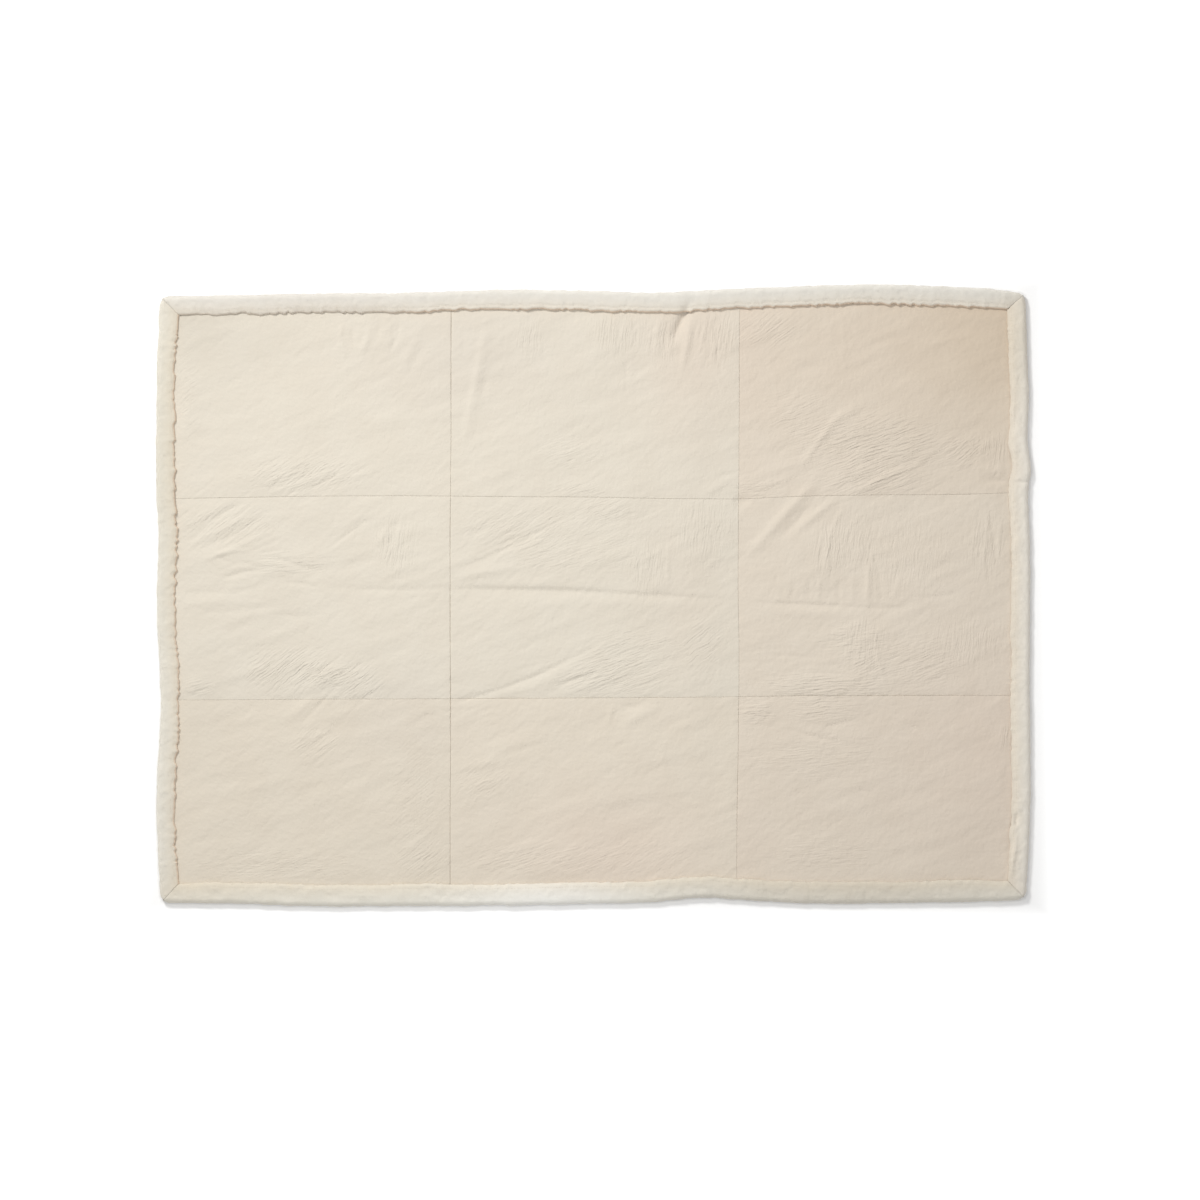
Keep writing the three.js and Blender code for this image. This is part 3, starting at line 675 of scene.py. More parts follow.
class Cloth:
    """A rectangle of the pattern: its flat places along and across, and where they lie."""

    def __init__(self, along, across):
        self.along = along
        self.across = across
        self.flat_x, self.flat_y = np.meshgrid(along, across, indexing="ij")
        self.x, self.y = lay(self.flat_x, self.flat_y)
        self.height = np.zeros_like(self.x)

    def points(self):
        return np.stack([self.x, self.y, self.height], axis=-1)

    def window(self, x, y, reach_x, reach_y):
        """The points that lie near a place. The cloth's drift is added to the reach."""
        reach_x, reach_y = reach_x + MOST_DRIFT, reach_y + MOST_DRIFT
        columns = np.searchsorted(self.along, (x - reach_x, x + reach_x))
        rows = np.searchsorted(self.across, (y - reach_y, y + reach_y))
        return slice(*columns), slice(*rows)

    def press(self, crease, profile):
        """Presses a crease into the points that lie near it."""
        heading = math.radians(crease.heading)
        half = crease.length / 2
        spread = 3 * crease.width + abs(math.radians(crease.bend)) * half / 4
        reach_x = abs(math.cos(heading)) * half + abs(math.sin(heading)) * spread + crease.width
        reach_y = abs(math.sin(heading)) * half + abs(math.cos(heading)) * spread + crease.width
        near = self.window(crease.x, crease.y, reach_x, reach_y)
        press(self.height[near], self.x[near], self.y[near], crease, profile)


def crease_profile(side, crease):
    """A ridge is round, and a trough has a sharper floor."""
    leaned = side / (1 + crease.lean * np.sign(side))
    power = 2 if crease.height > 0 else 1.6
    return np.exp(-np.abs(leaned) ** power)


def wrinkle_profile(side, crease):
    """A narrow valley with a slight rise on either side of it."""
    return (1 - 0.7 * side**2) * np.exp(-(side**2))


def fine_wrinkles():
    """Every wrinkle of every patch, strewn with a fixed seed."""
    strewn = []
    draw = np.random.default_rng(WRINKLE_SEED)
    for patch in PATCHES:
        for _ in range(patch.count):
            x = patch.x + patch.reach_x * WRINKLE_SPREAD * draw.normal()
            y = patch.y + patch.reach_y * WRINKLE_SPREAD * draw.normal()
            heading = patch.heading + patch.scatter * draw.normal()
            length = patch.length * draw.uniform(*WRINKLE_LENGTHS)
            width = patch.width * draw.uniform(*WRINKLE_WIDTHS)
            depth = patch.depth * draw.uniform(*WRINKLE_DEPTHS)
            bend = WRINKLE_BEND * draw.normal()
            strewn.append(Crease(x, y, length, heading, bend, width, -depth))
    return strewn


FINE_WRINKLES = fine_wrinkles()


def reach_at(area, x, y):
    """How far places lie from an area's middle, squared, with its edge at 1."""
    return ((x - area.x) / area.reach_x) ** 2 + ((y - area.y) / area.reach_y) ** 2


def ripple_masks(cloth):
    """How plainly each place ripples in each of the ways that ripples run."""
    masks = np.zeros(cloth.x.shape + (len(RIPPLE_HEADINGS),))
    for area in RIPPLES:
        strength = area.strength * np.exp(-(reach_at(area, cloth.x, cloth.y) ** 1.5))
        off = (area.heading - np.array(RIPPLE_HEADINGS)) / RIPPLE_TURN
        shares = np.exp(-(off**2))
        masks += strength[..., None] * shares / shares.sum()
    return np.clip(masks, 0, 1)


def tinges_at(tinges, x, y):
    """The share of red, green and blue that the patches leave at each place, partly painted shade.
    """
    kept = np.ones(x.shape + (4,))
    for tinge in tinges:
        share = np.exp(-reach_at(tinge, x, y))[..., None]
        kept[..., :3] *= 1 - share * (1 - np.array([tinge.red, tinge.green, tinge.blue]))
    return kept


# Meshes

def add_piece(name, mesh, smooth):
    """An object for a mesh, at the origin, with all its faces smooth or all flat."""
    mesh.polygons.foreach_set("use_smooth", [smooth] * len(mesh.polygons))
    piece = bpy.data.objects.new(name, mesh)
    bpy.context.scene.collection.objects.link(piece)
    return piece


def write_mesh(name, points, faces, material, smooth=True):
    """A piece in metres, from points in millimetres."""
    mesh = bpy.data.meshes.new(name)
    mesh.from_pydata((np.asarray(points) / METRE).tolist(), [], faces)
    mesh.validate()
    mesh.materials.append(material)
    mesh.update()
    return add_piece(name, mesh, smooth)


def store_values(piece, name, values, kind="FLOAT", field="value"):
    """Keeps a number for each point of a mesh under a name."""
    attribute = piece.data.attributes.new(name, kind, "POINT")
    attribute.data.foreach_set(field, np.ascontiguousarray(values, np.float32).ravel())


def store_colours(piece, name, colours, rest):
    """Keeps a colour for each of a mesh's first points, and one number for all the rest."""
    filled = np.full((len(piece.data.vertices), 4), float(rest))
    filled[: colours.size // 4] = colours.reshape(-1, 4)
    store_values(piece, name, filled, "FLOAT_COLOR", "color")


def grid_faces(columns, rows, first=0, upwards=True):
    """Quadrilaterals over points numbered across first, then along."""
    column, row = np.meshgrid(np.arange(columns - 1), np.arange(rows - 1), indexing="ij")
    corner = (first + column * rows + row).ravel()
    quads = np.stack([corner, corner + rows, corner + rows + 1, corner + 1], axis=1)
    return (quads if upwards else quads[:, ::-1]).tolist()


def rim_round(columns, rows, first=0):
    """The numbers of a grid's outer points, against the clock as seen from above."""
    bottom = [column * rows for column in range(columns - 1)]
    right = [(columns - 1) * rows + row for row in range(rows - 1)]
    top = [column * rows + rows - 1 for column in range(columns - 1, 0, -1)]
    left = list(range(rows - 1, 0, -1))
    return [first + number for number in bottom + right + top + left]


def slab(name, top, bottom, material, coarse=1):
    """A closed slab between two grids, the lower one with fewer points by the factor coarse."""
    columns, rows = top.shape[:2]
    low_columns, low_rows = bottom.shape[:2]
    below = columns * rows
    faces = grid_faces(columns, rows)
    faces += grid_faces(low_columns, low_rows, below, upwards=False)
    rim = rim_round(columns, rows)
    low_rim = rim_round(low_columns, low_rows, below)
    for index, foot in enumerate(low_rim):
        start = index * coarse
        above = [rim[(start + step) % len(rim)] for step in range(coarse, -1, -1)]
        faces.append([foot, low_rim[(index + 1) % len(low_rim)]] + above)
    points = np.vstack([top.reshape(-1, 3), bottom.reshape(-1, 3)])
    return write_mesh(name, points, faces, material)


def dress(piece, solid):
    """Hangs a piece on the body, and hides the part file's solid that it stands for."""
    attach(piece, BODY)
    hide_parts(solid)


# Materials

def node_group(name, inputs, outputs, kind="ShaderNodeTree"):
    """An empty node group with named sockets. inputs maps a name to a kind and a value."""
    group = bpy.data.node_groups.new(name, kind)
    for label, (socket_kind, value) in inputs.items():
        socket = group.interface.new_socket(
            label, in_out="INPUT", socket_type="NodeSocket" + socket_kind
        )
        if value is not None:
            socket.default_value = value
    for label, socket_kind in outputs.items():
        group.interface.new_socket(
            label, in_out="OUTPUT", socket_type="NodeSocket" + socket_kind
        )
    return group, group.nodes.new("NodeGroupInput").outputs, group.nodes.new("NodeGroupOutput")


def plug(tree, socket, value):
    """Links a socket to another one, or gives it a value."""
    if isinstance(value, bpy.types.NodeSocket):
        tree.links.new(value, socket)
    else:
        socket.default_value = value


def feed(tree, node, **values):
    """Fills a node's inputs. A name's underscores stand for the socket's spaces."""
    for name, value in values.items():
        plug(tree, node.inputs[name.replace("_", " ")], value)


def add_node(tree, kind, **given):
    """Adds a node. Names with a capital fill its inputs, and the others are its settings."""
    node = tree.nodes.new(kind)
    inputs = {name: value for name, value in given.items() if name[0].isupper()}
    for name, value in given.items():
        if name not in inputs:
            setattr(node, name, value)
    feed(tree, node, **inputs)
    return node


def worked_out(tree, kind, operation, output, values):
    """The result of a maths node whose inputs are filled in their order."""
    node = add_node(tree, kind, operation=operation)
    for socket, value in zip(node.inputs, values):
        plug(tree, socket, value)
    return node.outputs[output]


def maths(tree, operation, *values):
    return worked_out(tree, "ShaderNodeMath", operation, "Value", values)


def vector_maths(tree, operation, *values):
    return worked_out(tree, "ShaderNodeVectorMath", operation, "Vector", values)


def mix_colours(tree, share, first, second, blend="MIX"):
    node = add_node(tree, "ShaderNodeMix", data_type="RGBA", blend_type=blend)
    for index, value in {0: share, 6: first, 7: second}.items():
        plug(tree, node.inputs[index], value)
    return node.outputs[2]


def noise(tree, vector, scale, detail=2.0, roughness=0.5, output="Fac"):
    """Soft grain, with scale lumps a metre."""
    node = add_node(tree, "ShaderNodeTexNoise", Vector=vector, Scale=scale, Detail=detail)
    feed(tree, node, Roughness=roughness)
    return node.outputs[output]


def eased(tree, value, low, high, first=0.0, last=1.0):
    """A number that goes softly from first to last while the value goes from low to high."""
    node = add_node(tree, "ShaderNodeMapRange", interpolation_type="SMOOTHSTEP", Value=value)
    feed(tree, node, From_Min=low, From_Max=high, To_Min=first, To_Max=last)
    return node.outputs["Result"]


def parts_of(tree, vector):
    return add_node(tree, "ShaderNodeSeparateXYZ", Vector=vector).outputs


def vector_of(tree, **parts):
    return add_node(tree, "ShaderNodeCombineXYZ", **parts).outputs["Vector"]


def swayed(tree, place, scale, detail, reach):
    """Coordinates that wander by up to reach, in metres, so that a pattern curls."""
    wander = noise(tree, place, scale, detail, output="Color")
    return vector_maths(tree, "MULTIPLY_ADD", wander, reach, place)


def stretched(tree, vector, heading, along, across):
    """Coordinates turned to a heading and squeezed, for a pattern that runs that way."""
    mapping = add_node(tree, "ShaderNodeMapping", vector_type="TEXTURE", Vector=vector)
    size = (along / METRE, across / METRE, 0.05)
    feed(tree, mapping, Rotation=(0, 0, math.radians(heading)), Scale=size)
    return mapping.outputs["Vector"]


def mottle_group():
    """Soft blotches: one colour wandering to another, at a size in metres."""
    group, given, end = node_group(
        "soft blotches",
        {
            "Place": ("Vector", None),
            "Colour": ("Color", (0.8, 0.7, 0.6, 1)),
            "Blotch": ("Color", (0.7, 0.6, 0.5, 1)),
            "Blotches per metre": ("Float", 14.0),
        },
        {"Colour": "Color"},
    )
    broad = noise(group, given["Place"], given["Blotches per metre"], 4.0, 0.55)
    share = eased(group, broad, 0.32, 0.68)
    feed(group, end, Colour=mix_colours(group, share, given["Colour"], given["Blotch"]))
    return group


def ripple_group():
    """Height of fine ripples, let through by a mask for each of the ways that they run."""
    group, given, end = node_group(
        "fine ripples",
        {
            "Place": ("Vector", None),
            "Masks": ("Color", (0, 0, 0, 1)),
            "Last mask": ("Float", 0.0),
        },
        {"Height": "Float"},
    )
    split = add_node(group, "ShaderNodeSeparateColor", Color=given["Masks"]).outputs
    masks = [split[channel] for channel in ("Red", "Green", "Blue")]
    place = swayed(group, given["Place"], 22.0, 2.0, (0.012, 0.012, 0))
    height = 0.0
    for mask, heading in zip(masks + [given["Last mask"]], RIPPLE_HEADINGS):
        ripples = noise(group, stretched(group, place, heading, *RIPPLE_SIZE), 1.0, 1.5, 0.6)
        height = maths(group, "MULTIPLY_ADD", ripples, mask, height)
    feed(group, end, Height=height)
    return group


def wool_group():
    """Curls and fibres of sheared wool: a height and a shade between 0 and 1."""
    group, given, end = node_group(
        "sheared wool",
        {"Place": ("Vector", None)},
        {"Height": "Float", "Shade": "Float"},
    )
    place = swayed(group, given["Place"], 120.0, 1.0, (0.014, 0.014, 0.014))
    curls = noise(group, place, 200.0, 3.0, 0.6)
    fibres = noise(group, place, 850.0, 2.0, 0.6)
    broad = maths(group, "MULTIPLY", noise(group, given["Place"], 45.0, 3.0, 0.55), 0.5)
    feed(group, end, Height=maths(group, "MULTIPLY_ADD", fibres, 0.5, curls))
    feed(group, end, Shade=maths(group, "MULTIPLY_ADD", curls, 0.5, broad))
    return group


MOTTLE = mottle_group()
RIPPLE = ripple_group()
WOOL = wool_group()


def new_material(name):
    """A material with a plain surface. Also returns its tree and the places on its piece."""
    material = bpy.data.materials.new(name)
    material.use_nodes = True
    tree = material.node_tree
    tree.nodes.clear()
    surface = tree.nodes.new("ShaderNodeBsdfPrincipled")
    output = tree.nodes.new("ShaderNodeOutputMaterial")
    feed(tree, output, Surface=surface.outputs["BSDF"])
    place = tree.nodes.new("ShaderNodeTexCoord").outputs["Object"]
    return material, tree, surface, place


def carried(tree, name):
    """What a mesh carries under a name."""
    return add_node(tree, "ShaderNodeAttribute", attribute_name=name).outputs


def opaque(colour, tint=PALE):
    """A colour as nodes take it, once a tint has changed each of its shares."""
    return tuple(part * share for part, share in zip(colour, tint)) + (1,)


def bumped(tree, height, distance, strength=1.0, **normal):
    """The normal of a surface with low relief. A Normal given is that of the form below it."""
    bump = add_node(tree, "ShaderNodeBump", Height=height, Distance=distance / METRE, **normal)
    feed(tree, bump, Strength=strength)
    return bump.outputs["Normal"]


def skin_material(name, tint):
    """Cream sheepskin leather: matt, finely grained and softly blotched."""
    material, tree, surface, place = new_material(name)
    colour, blotch = opaque(SKIN_COLOUR, tint), opaque(SKIN_BLOTCH, tint)
    blotches = add_node(tree, "ShaderNodeGroup", node_tree=MOTTLE, Place=place)
    feed(tree, blotches, Colour=colour, Blotch=blotch, Blotches_per_metre=13.0)
    wear = maths(tree, "MULTIPLY", noise(tree, place, 650.0, 2.0, 0.6), 0.12)
    worn = mix_colours(tree, wear, blotches.outputs["Colour"], opaque(SKIN_WEAR))
    # Multiplies in the patches of colour that the mesh carries, which are partly painted shade.
    stained_and_shaded = mix_colours(tree, 1.0, worn, carried(tree, "stained_and_shaded")["Color"], "MULTIPLY")
    roughness = maths(tree, "MULTIPLY_ADD", noise(tree, place, 30.0), 0.2, 0.6)
    feed(tree, surface, Base_Color=stained_and_shaded, Roughness=roughness, Specular_IOR_Level=0.3)
    feed(tree, surface, Sheen_Weight=0.12, Sheen_Roughness=0.5)
    masks = carried(tree, "rippled")
    fine = add_node(tree, "ShaderNodeGroup", node_tree=RIPPLE, Place=place)
    feed(tree, fine, Masks=masks["Color"], Last_mask=masks["Alpha"])
    ripples = fine.outputs["Height"]
    grain = bumped(tree, noise(tree, place, 420.0, 3.0, 0.6), 0.25, 0.6)
    soft = noise(tree, place, 85.0, 3.0, 0.6)
    crumple = bumped(tree, soft, CRUMPLE_HEIGHT, Normal=grain)
    feed(tree, surface, Normal=bumped(tree, ripples, RIPPLE_HEIGHT, Normal=crumple))
    return material


def wool_material(name, tint):
    """Cream sheared wool. It is greyer outside and warmer towards the border's inner edge."""
    material, tree, surface, place = new_material(name)
    wool = add_node(tree, "ShaderNodeGroup", node_tree=WOOL, Place=place).outputs
    outside, inside = opaque(WOOL_OUTSIDE, tint), opaque(WOOL_INSIDE, tint)
    warm = mix_colours(tree, carried(tree, "inward")["Fac"], outside, inside)
    shade = maths(tree, "MULTIPLY_ADD", wool["Shade"], 0.5, -0.08)
    dark = mix_colours(tree, 1.0, warm, opaque(WOOL_SHADE), "MULTIPLY")
    fleece = mix_colours(tree, shade, warm, dark)
    # The browner edge: partly the skin's cut edge, partly painted shade along the top and left
    # lips.
    edged = mix_colours(tree, carried(tree, "edge")["Fac"], fleece, opaque(CUT_EDGE_AND_SHADE_BROWN))
    stained_and_shaded = mix_colours(tree, 1.0, edged, carried(tree, "stained_and_shaded")["Color"], "MULTIPLY")
    feed(tree, surface, Base_Color=stained_and_shaded, Roughness=0.95, Specular_IOR_Level=0.15)
    feed(tree, surface, Sheen_Weight=0.35, Sheen_Roughness=0.6)
    feed(tree, surface, Normal=bumped(tree, wool["Height"], 1.5, 0.55))
    return material


def thread_material():
    """Waxed sewing thread, a little darker than the skin, with the turns of its plies."""
    material, tree, surface, place = new_material("sewing thread")
    plies = noise(tree, place, 1500.0, 1.0, 0.5)
    colour = mix_colours(tree, plies, opaque(THREAD_DARK), opaque(THREAD_LIGHT))
    feed(tree, surface, Base_Color=colour, Roughness=0.6, Specular_IOR_Level=0.3)
    feed(tree, surface, Normal=bumped(tree, plies, 0.15, 0.7))
    return material


# Panels

def panel_span(index, count, whole):
    """Where a panel starts and ends, clear of its neighbours' gaps and the border's wool."""
    low = -whole / 2 + whole * index / count
    high = low + whole / count
    low += NOSE + GAP if index == 0 else GAP / 2
    high -= NOSE + GAP if index == count - 1 else GAP / 2
    return low, high


def panel_places(low, high):
    """Flat places across a panel, close together where its skin rolls into the seams."""
    steps = np.array(SEAM_STEPS, float)
    inner_low, inner_high = low + steps[-1], high - steps[-1]
    cells = COARSE * round((inner_high - inner_low) / SKIN_STEP / COARSE)
    inner = np.linspace(inner_low, inner_high, cells + 1)
    return np.concatenate([low + steps[:-1], inner, (high - steps[:-1])[::-1]])


def seam_drop(cloth, column, row):
    """How far the skin lies below its level near its seams: a soft sink and a tight roll."""
    drop = np.zeros_like(cloth.height)
    edges = (
        (cloth.flat_x - cloth.along[0], cloth.y, UPRIGHT_SEAMS, column - 1, "after"),
        (cloth.along[-1] - cloth.flat_x, cloth.y, UPRIGHT_SEAMS, column, "before"),
        (cloth.flat_y - cloth.across[0], cloth.x, LEVEL_SEAMS, row - 1, "after"),
        (cloth.across[-1] - cloth.flat_y, cloth.x, LEVEL_SEAMS, row, "before"),
    )
    for number, (distance, run, seams, index, which) in enumerate(edges):
        if index not in range(len(seams)):
            continue
        seam = seams[index]
        uneven = 0.85 + 0.55 * lumps(run, distance * 0, 70, 5 + index)
        sink = getattr(seam, which) * uneven * np.exp(-distance / SEAM_SPREAD)
        inside = np.clip(1 - distance / SEAM_ROLL, 0, 1)
        roll = seam.roll * uneven * (1 - np.sqrt(1 - inside**2))
        pucker = lumps(run, distance / 3 + 7 * number, PUCKER_LENGTH, 11) * PUCKER_HEIGHT
        drop += sink + roll + pucker * np.exp(-distance / PUCKER_SPREAD)
    return drop


def border_dip(cloth):
    """How far the border presses the skin down beside its lip."""
    dip = np.zeros_like(cloth.height)
    uneven = 1 + 0.7 * lumps(cloth.x, cloth.y, 60, 59)
    for side in BORDER_SIDES:
        if side.along_x:
            from_edge = WIDTH / 2 - cloth.flat_y * side.start_y
        else:
            from_edge = LENGTH / 2 - cloth.flat_x * side.start_x
        depth = side.dip * uneven
        if side.widen:
            depth = depth * (1 - smoothstep(LENGTH / 2 - cloth.flat_x, *LIP_WIDENS))
        dip += depth * np.exp(-np.clip(from_edge - side.leaf, 0, None) / DIP_SPREAD)
    return dip


def raise_skin(cloth, column, row):
    """Presses waves, creases and wrinkles into a panel's skin, and sinks it into its seams."""
    cloth.height += waves_at(WAVES, cloth.x, cloth.y)
    for crease in CREASES:
        cloth.press(crease, crease_profile)
    for wrinkle in FINE_WRINKLES:
        cloth.press(wrinkle, wrinkle_profile)
    cloth.height += layered(cloth.x, cloth.y, SKIN_LUMPS)
    for streaks in STREAKS:
        cloth.height += streaks_at(streaks, cloth.x, cloth.y)
    from_edge = np.minimum(LENGTH / 2 - np.abs(cloth.flat_x), WIDTH / 2 - np.abs(cloth.flat_y))
    bare = smoothstep(from_edge, *BARE_RIDGES)
    cloth.height = np.where(cloth.height > 0, cloth.height * bare, cloth.height)
    cloth.height += PANEL_TOP - seam_drop(cloth, column, row) - border_dip(cloth)


def lowest_round(heights):
    """For each corner of the coarse cells, the lowest height in the cells that meet there."""
    columns, rows = (np.array(heights.shape) - 1) // COARSE * COARSE
    cells = np.full((columns // COARSE + 2, rows // COARSE + 2), np.inf)
    for right in range(COARSE + 1):
        for up in range(COARSE + 1):
            part = heights[right : right + columns : COARSE, up : up + rows : COARSE]
            cells[1:-1, 1:-1] = np.minimum(cells[1:-1, 1:-1], part)
    pairs = np.minimum(cells[:-1], cells[1:])
    return np.minimum(pairs[:, :-1], pairs[:, 1:])


def panel_name(column, row):
    if column == 1 and row == 1:
        return "centre"
    return f"{ROW_NAMES[row]}_{COLUMN_NAMES[column]}"


def make_panel(column, row, skin, wool):
    """One panel: a thin sheet of skin, and the wool under it down to the floor."""
    name = panel_name(column, row)
    span_x = panel_span(column, PANELS_ALONG, LENGTH)
    span_y = panel_span(row, PANELS_ACROSS, WIDTH)
    cloth = Cloth(panel_places(*span_x), panel_places(*span_y))
    raise_skin(cloth, column, row)
    top = cloth.points()
    bottom = top[::COARSE, ::COARSE].copy()
    bottom[..., 2] = lowest_round(cloth.height) - SKIN
    sheet = slab(f"skin_{name}", top, bottom, skin, COARSE)
    store_colours(sheet, "rippled", ripple_masks(cloth), 0)
    # The hide's patches of colour, partly painted shade.
    store_colours(sheet, "stained_and_shaded", tinges_at(STAINS_AND_PAINTED_SHADE, cloth.x, cloth.y), 1)

    pile_top = bottom - (0, 0, WOOL_CLEARANCE)
    pile_bottom = bottom.copy()
    floor_lumps = FLOOR_LEVEL + layered(bottom[..., 0], bottom[..., 1], FLOOR_LUMPS)
    pile_bottom[..., 2] = np.clip(floor_lumps, 0, None)
    pile = slab(f"wool_under_{name}", pile_top, pile_bottom, wool)
    store_colours(pile, "stained_and_shaded", np.zeros(0), 1)

    dress(sheet, f"panel_{name}")
    dress(pile, f"panel_{name}")
    return cloth


# The border

# How far in from the edge each point of a strip's section lies, its height, and how much
# the lumps of the wool move it. Each row is one point of the section, all along the strip.
Section = namedtuple("Section", "inward height swell")


def border_profile(side, leaf, drop):
    """The strip's section for each leaf width: from the floor, over the wool, to its lip."""
    rows = []
    middle = BORDER_TOP - ROLL_RADIUS
    for turn in np.linspace(-math.asin(middle / ROLL_RADIUS), math.pi / 2, ROLL_STEPS + 1):
        level = middle + ROLL_RADIUS * math.sin(turn)
        rows.append((ROLL_RADIUS * (1 - math.cos(turn)), level, min(1, level / 5)))
    for share in np.linspace(0, 1, FLAT_STEPS + 1)[1:]:
        rows.append((ROLL_RADIUS + (leaf - side.lip - ROLL_RADIUS) * share, BORDER_TOP, 1))
    for turn in np.linspace(0, math.pi / 2, LIP_STEPS + 1)[1:]:
        level = BORDER_TOP - drop * (1 - math.cos(turn))
        rows.append((leaf - side.lip * (1 - math.sin(turn)), level, 1 - 0.4 * turn))
    under = PANEL_TOP + GAP
    rows.append((leaf - LIP_UNDERCUT, under + 0.4, 0))
    rows.append((leaf - LIP_TUCK, under, 0))
    rows.append((NOSE, under, 0))
    rows.append((NOSE, 0, 0))
    inward, height, swell = (np.array([part + 0 * leaf for part in parts]) for parts in zip(*rows))
    from_stitches = (leaf - STITCH_INSET - inward) / GROOVE_WIDTH
    height -= side.groove * np.exp(-(from_stitches**2)) * (swell > 0)
    return Section(inward, height, swell)


def leaf_width(side, forward, whole):
    """How wide the leaf is at each place: it sways, and its edge is cut and sewn by hand."""
    openness = smoothstep(np.minimum(forward, whole - forward), 0, CORNER_SPREAD)
    x, y = place_on_side(side, forward, 0)
    cut = side.rough * layered(x, y, CUT_LUMPS)
    return CORNER_LEAF + (side.leaf + waves_at(LEAF_WAVES, x, y) + cut - CORNER_LEAF) * openness


def place_on_side(side, forward, inward):
    """Where a place lies that is so far along a side and so far in from its edge."""
    flat_x = side.start_x * LENGTH / 2 + side.along_x * forward - side.along_y * inward
    flat_y = side.start_y * WIDTH / 2 + side.along_y * forward + side.along_x * inward
    return lay(flat_x, flat_y)


def swollen(side, section, forward, leaf):
    """The section's places once lumps push the wool out along its own outward direction."""
    rise = np.gradient(section.height, axis=0)
    run = np.gradient(section.inward, axis=0)
    size = np.maximum(np.hypot(rise, run), 1e-6)
    x, y = place_on_side(side, forward, section.inward)
    x, y = x + 0.7 * section.height, y - 0.7 * section.height
    on_lip = np.exp(-(((leaf - section.inward) / side.lip) ** 2))
    lump = layered(x, y, WOOL_LUMPS) + on_lip * layered(x, y, LIP_LUMPS) + layered(x, y, CURLS)
    lump *= section.swell
    raised = section.height + lump * run / size
    above_skin = PANEL_TOP + GAP + LIP_CLEARANCE
    raised = np.where(section.inward > leaf - side.lip, np.maximum(raised, above_skin), raised)
    return section.inward - lump * rise / size, raised


def strip_faces(columns, rows):
    """The faces of a closed strip: round its section, along its back and at both ends."""
    faces = grid_faces(columns, rows, upwards=False)
    for first in range(0, (columns - 1) * rows, rows):
        faces.append([first, first + rows, first + 2 * rows - 1, first + rows - 1])
    faces.append(list(range(rows - 1, -1, -1)))
    faces.append([(columns - 1) * rows + row for row in range(rows)])
    return faces


def paint_strip(piece, side, x, y, share, widened):
    """Keeps what the wool's colour follows. share runs from the outer edge to the lip's."""
    store_values(piece, "inward", smoothstep(share, 0.15, 1.0).T)
    browner = side.edge * (1 - EDGE_FADE * widened)
    # The browner edge, partly painted shade, is laid only on the top and left lips.
    store_values(piece, "edge", (browner * smoothstep(share, 0.9, 0.98)).T)
    tinges = tinges_at(WOOL_TINGES, x.T, y.T)
    # Painted shade: darkens the wool just before the lip, on the bottom and right strips.
    tinges[..., :3] *= 1 - side.dull * smoothstep(share, 0.78, 0.95).T[..., None]
    store_colours(piece, "stained_and_shaded", tinges, 1)


def fibre_cover(side, leaf, inward):
    """How thickly fibres stand on the wool: none by the floor, on the back or in stitches."""
    row = np.arange(len(inward))[:, None]
    woolly = (row >= BARE_ROWS) & (row < ROLL_STEPS + FLAT_STEPS + LIP_STEPS - 1)
    sewn = side.groove * np.exp(-(((leaf - STITCH_INSET - inward) / GROOVE_WIDTH) ** 2))
    return woolly * np.clip(1 - 1.4 * sewn, 0, 1)


def make_border(side, wool):
    """One strip of the border. Also returns where the stitches along its lip lie."""
    whole = LENGTH if side.along_x else WIDTH
    places = np.linspace(0, whole, round(whole / STATION_STEP) + 1)
    near_corner = np.minimum(places, whole - places)
    widened = side.widen * smoothstep(places, *LIP_WIDENS)
    lip = side.lip * (1 + LIP_SWAY * lumps(*place_on_side(side, places, 0), LIP_RUN, 127))
    side = side._replace(lip=lip * (1 + widened))
    leaf = leaf_width(side, places, whole)
    section = border_profile(side, leaf, LIP_DROP + LIP_SINK * widened)
    pull = CORNER_PULL * np.exp(-((near_corner / CORNER_ROUND) ** 2))
    pulled = section.inward + pull * np.clip(1 - section.inward / NOSE, 0, None)
    section = section._replace(inward=pulled)
    cut = (pulled + MITRE_GAP) * (1 - smoothstep(near_corner, 0, MITRE_SPREAD))
    forward = np.where(places < whole / 2, places + cut, places - cut)
    inward, height = swollen(side, section, forward, leaf)
    x, y = place_on_side(side, forward, inward)
    folds = np.zeros_like(x)
    for crease in CREASES:
        press(folds, x, y, crease, crease_profile)
    drop = MITRE_DROP * np.exp(-near_corner / MITRE_WIDTH)
    height = height + section.swell * (FOLD_SHARE_ON_BORDER * folds - drop)

    points = np.stack([x.T, y.T, height.T], axis=-1)
    faces = strip_faces(len(places), len(height))
    piece = write_mesh(f"wool_{side.name}", points.reshape(-1, 3), faces, wool)
    paint_strip(piece, side, x, y, pulled / pulled.max(axis=0), widened)
    store_values(piece, "cover", fibre_cover(side, leaf, pulled).T)
    return piece, stitch_line(points, leaf, pulled)


def stitch_line(points, leaf, inward):
    """Points along a strip where its stitches lie, one for each of its stations."""
    rows = slice(ROLL_STEPS, ROLL_STEPS + FLAT_STEPS + LIP_STEPS + 1)
    line = []
    for station, width in enumerate(leaf):
        reached = inward[rows, station]
        section = points[station, rows].T
        line.append([np.interp(width - STITCH_INSET, reached, part) for part in section])
    return np.array(line)


# Fibres and stitches, grown by geometry nodes

def place_value(tree, name):
    """The value that a mesh carries under a name."""
    node = add_node(tree, "GeometryNodeInputNamedAttribute", data_type="FLOAT", Name=name)
    return node.outputs["Attribute"]


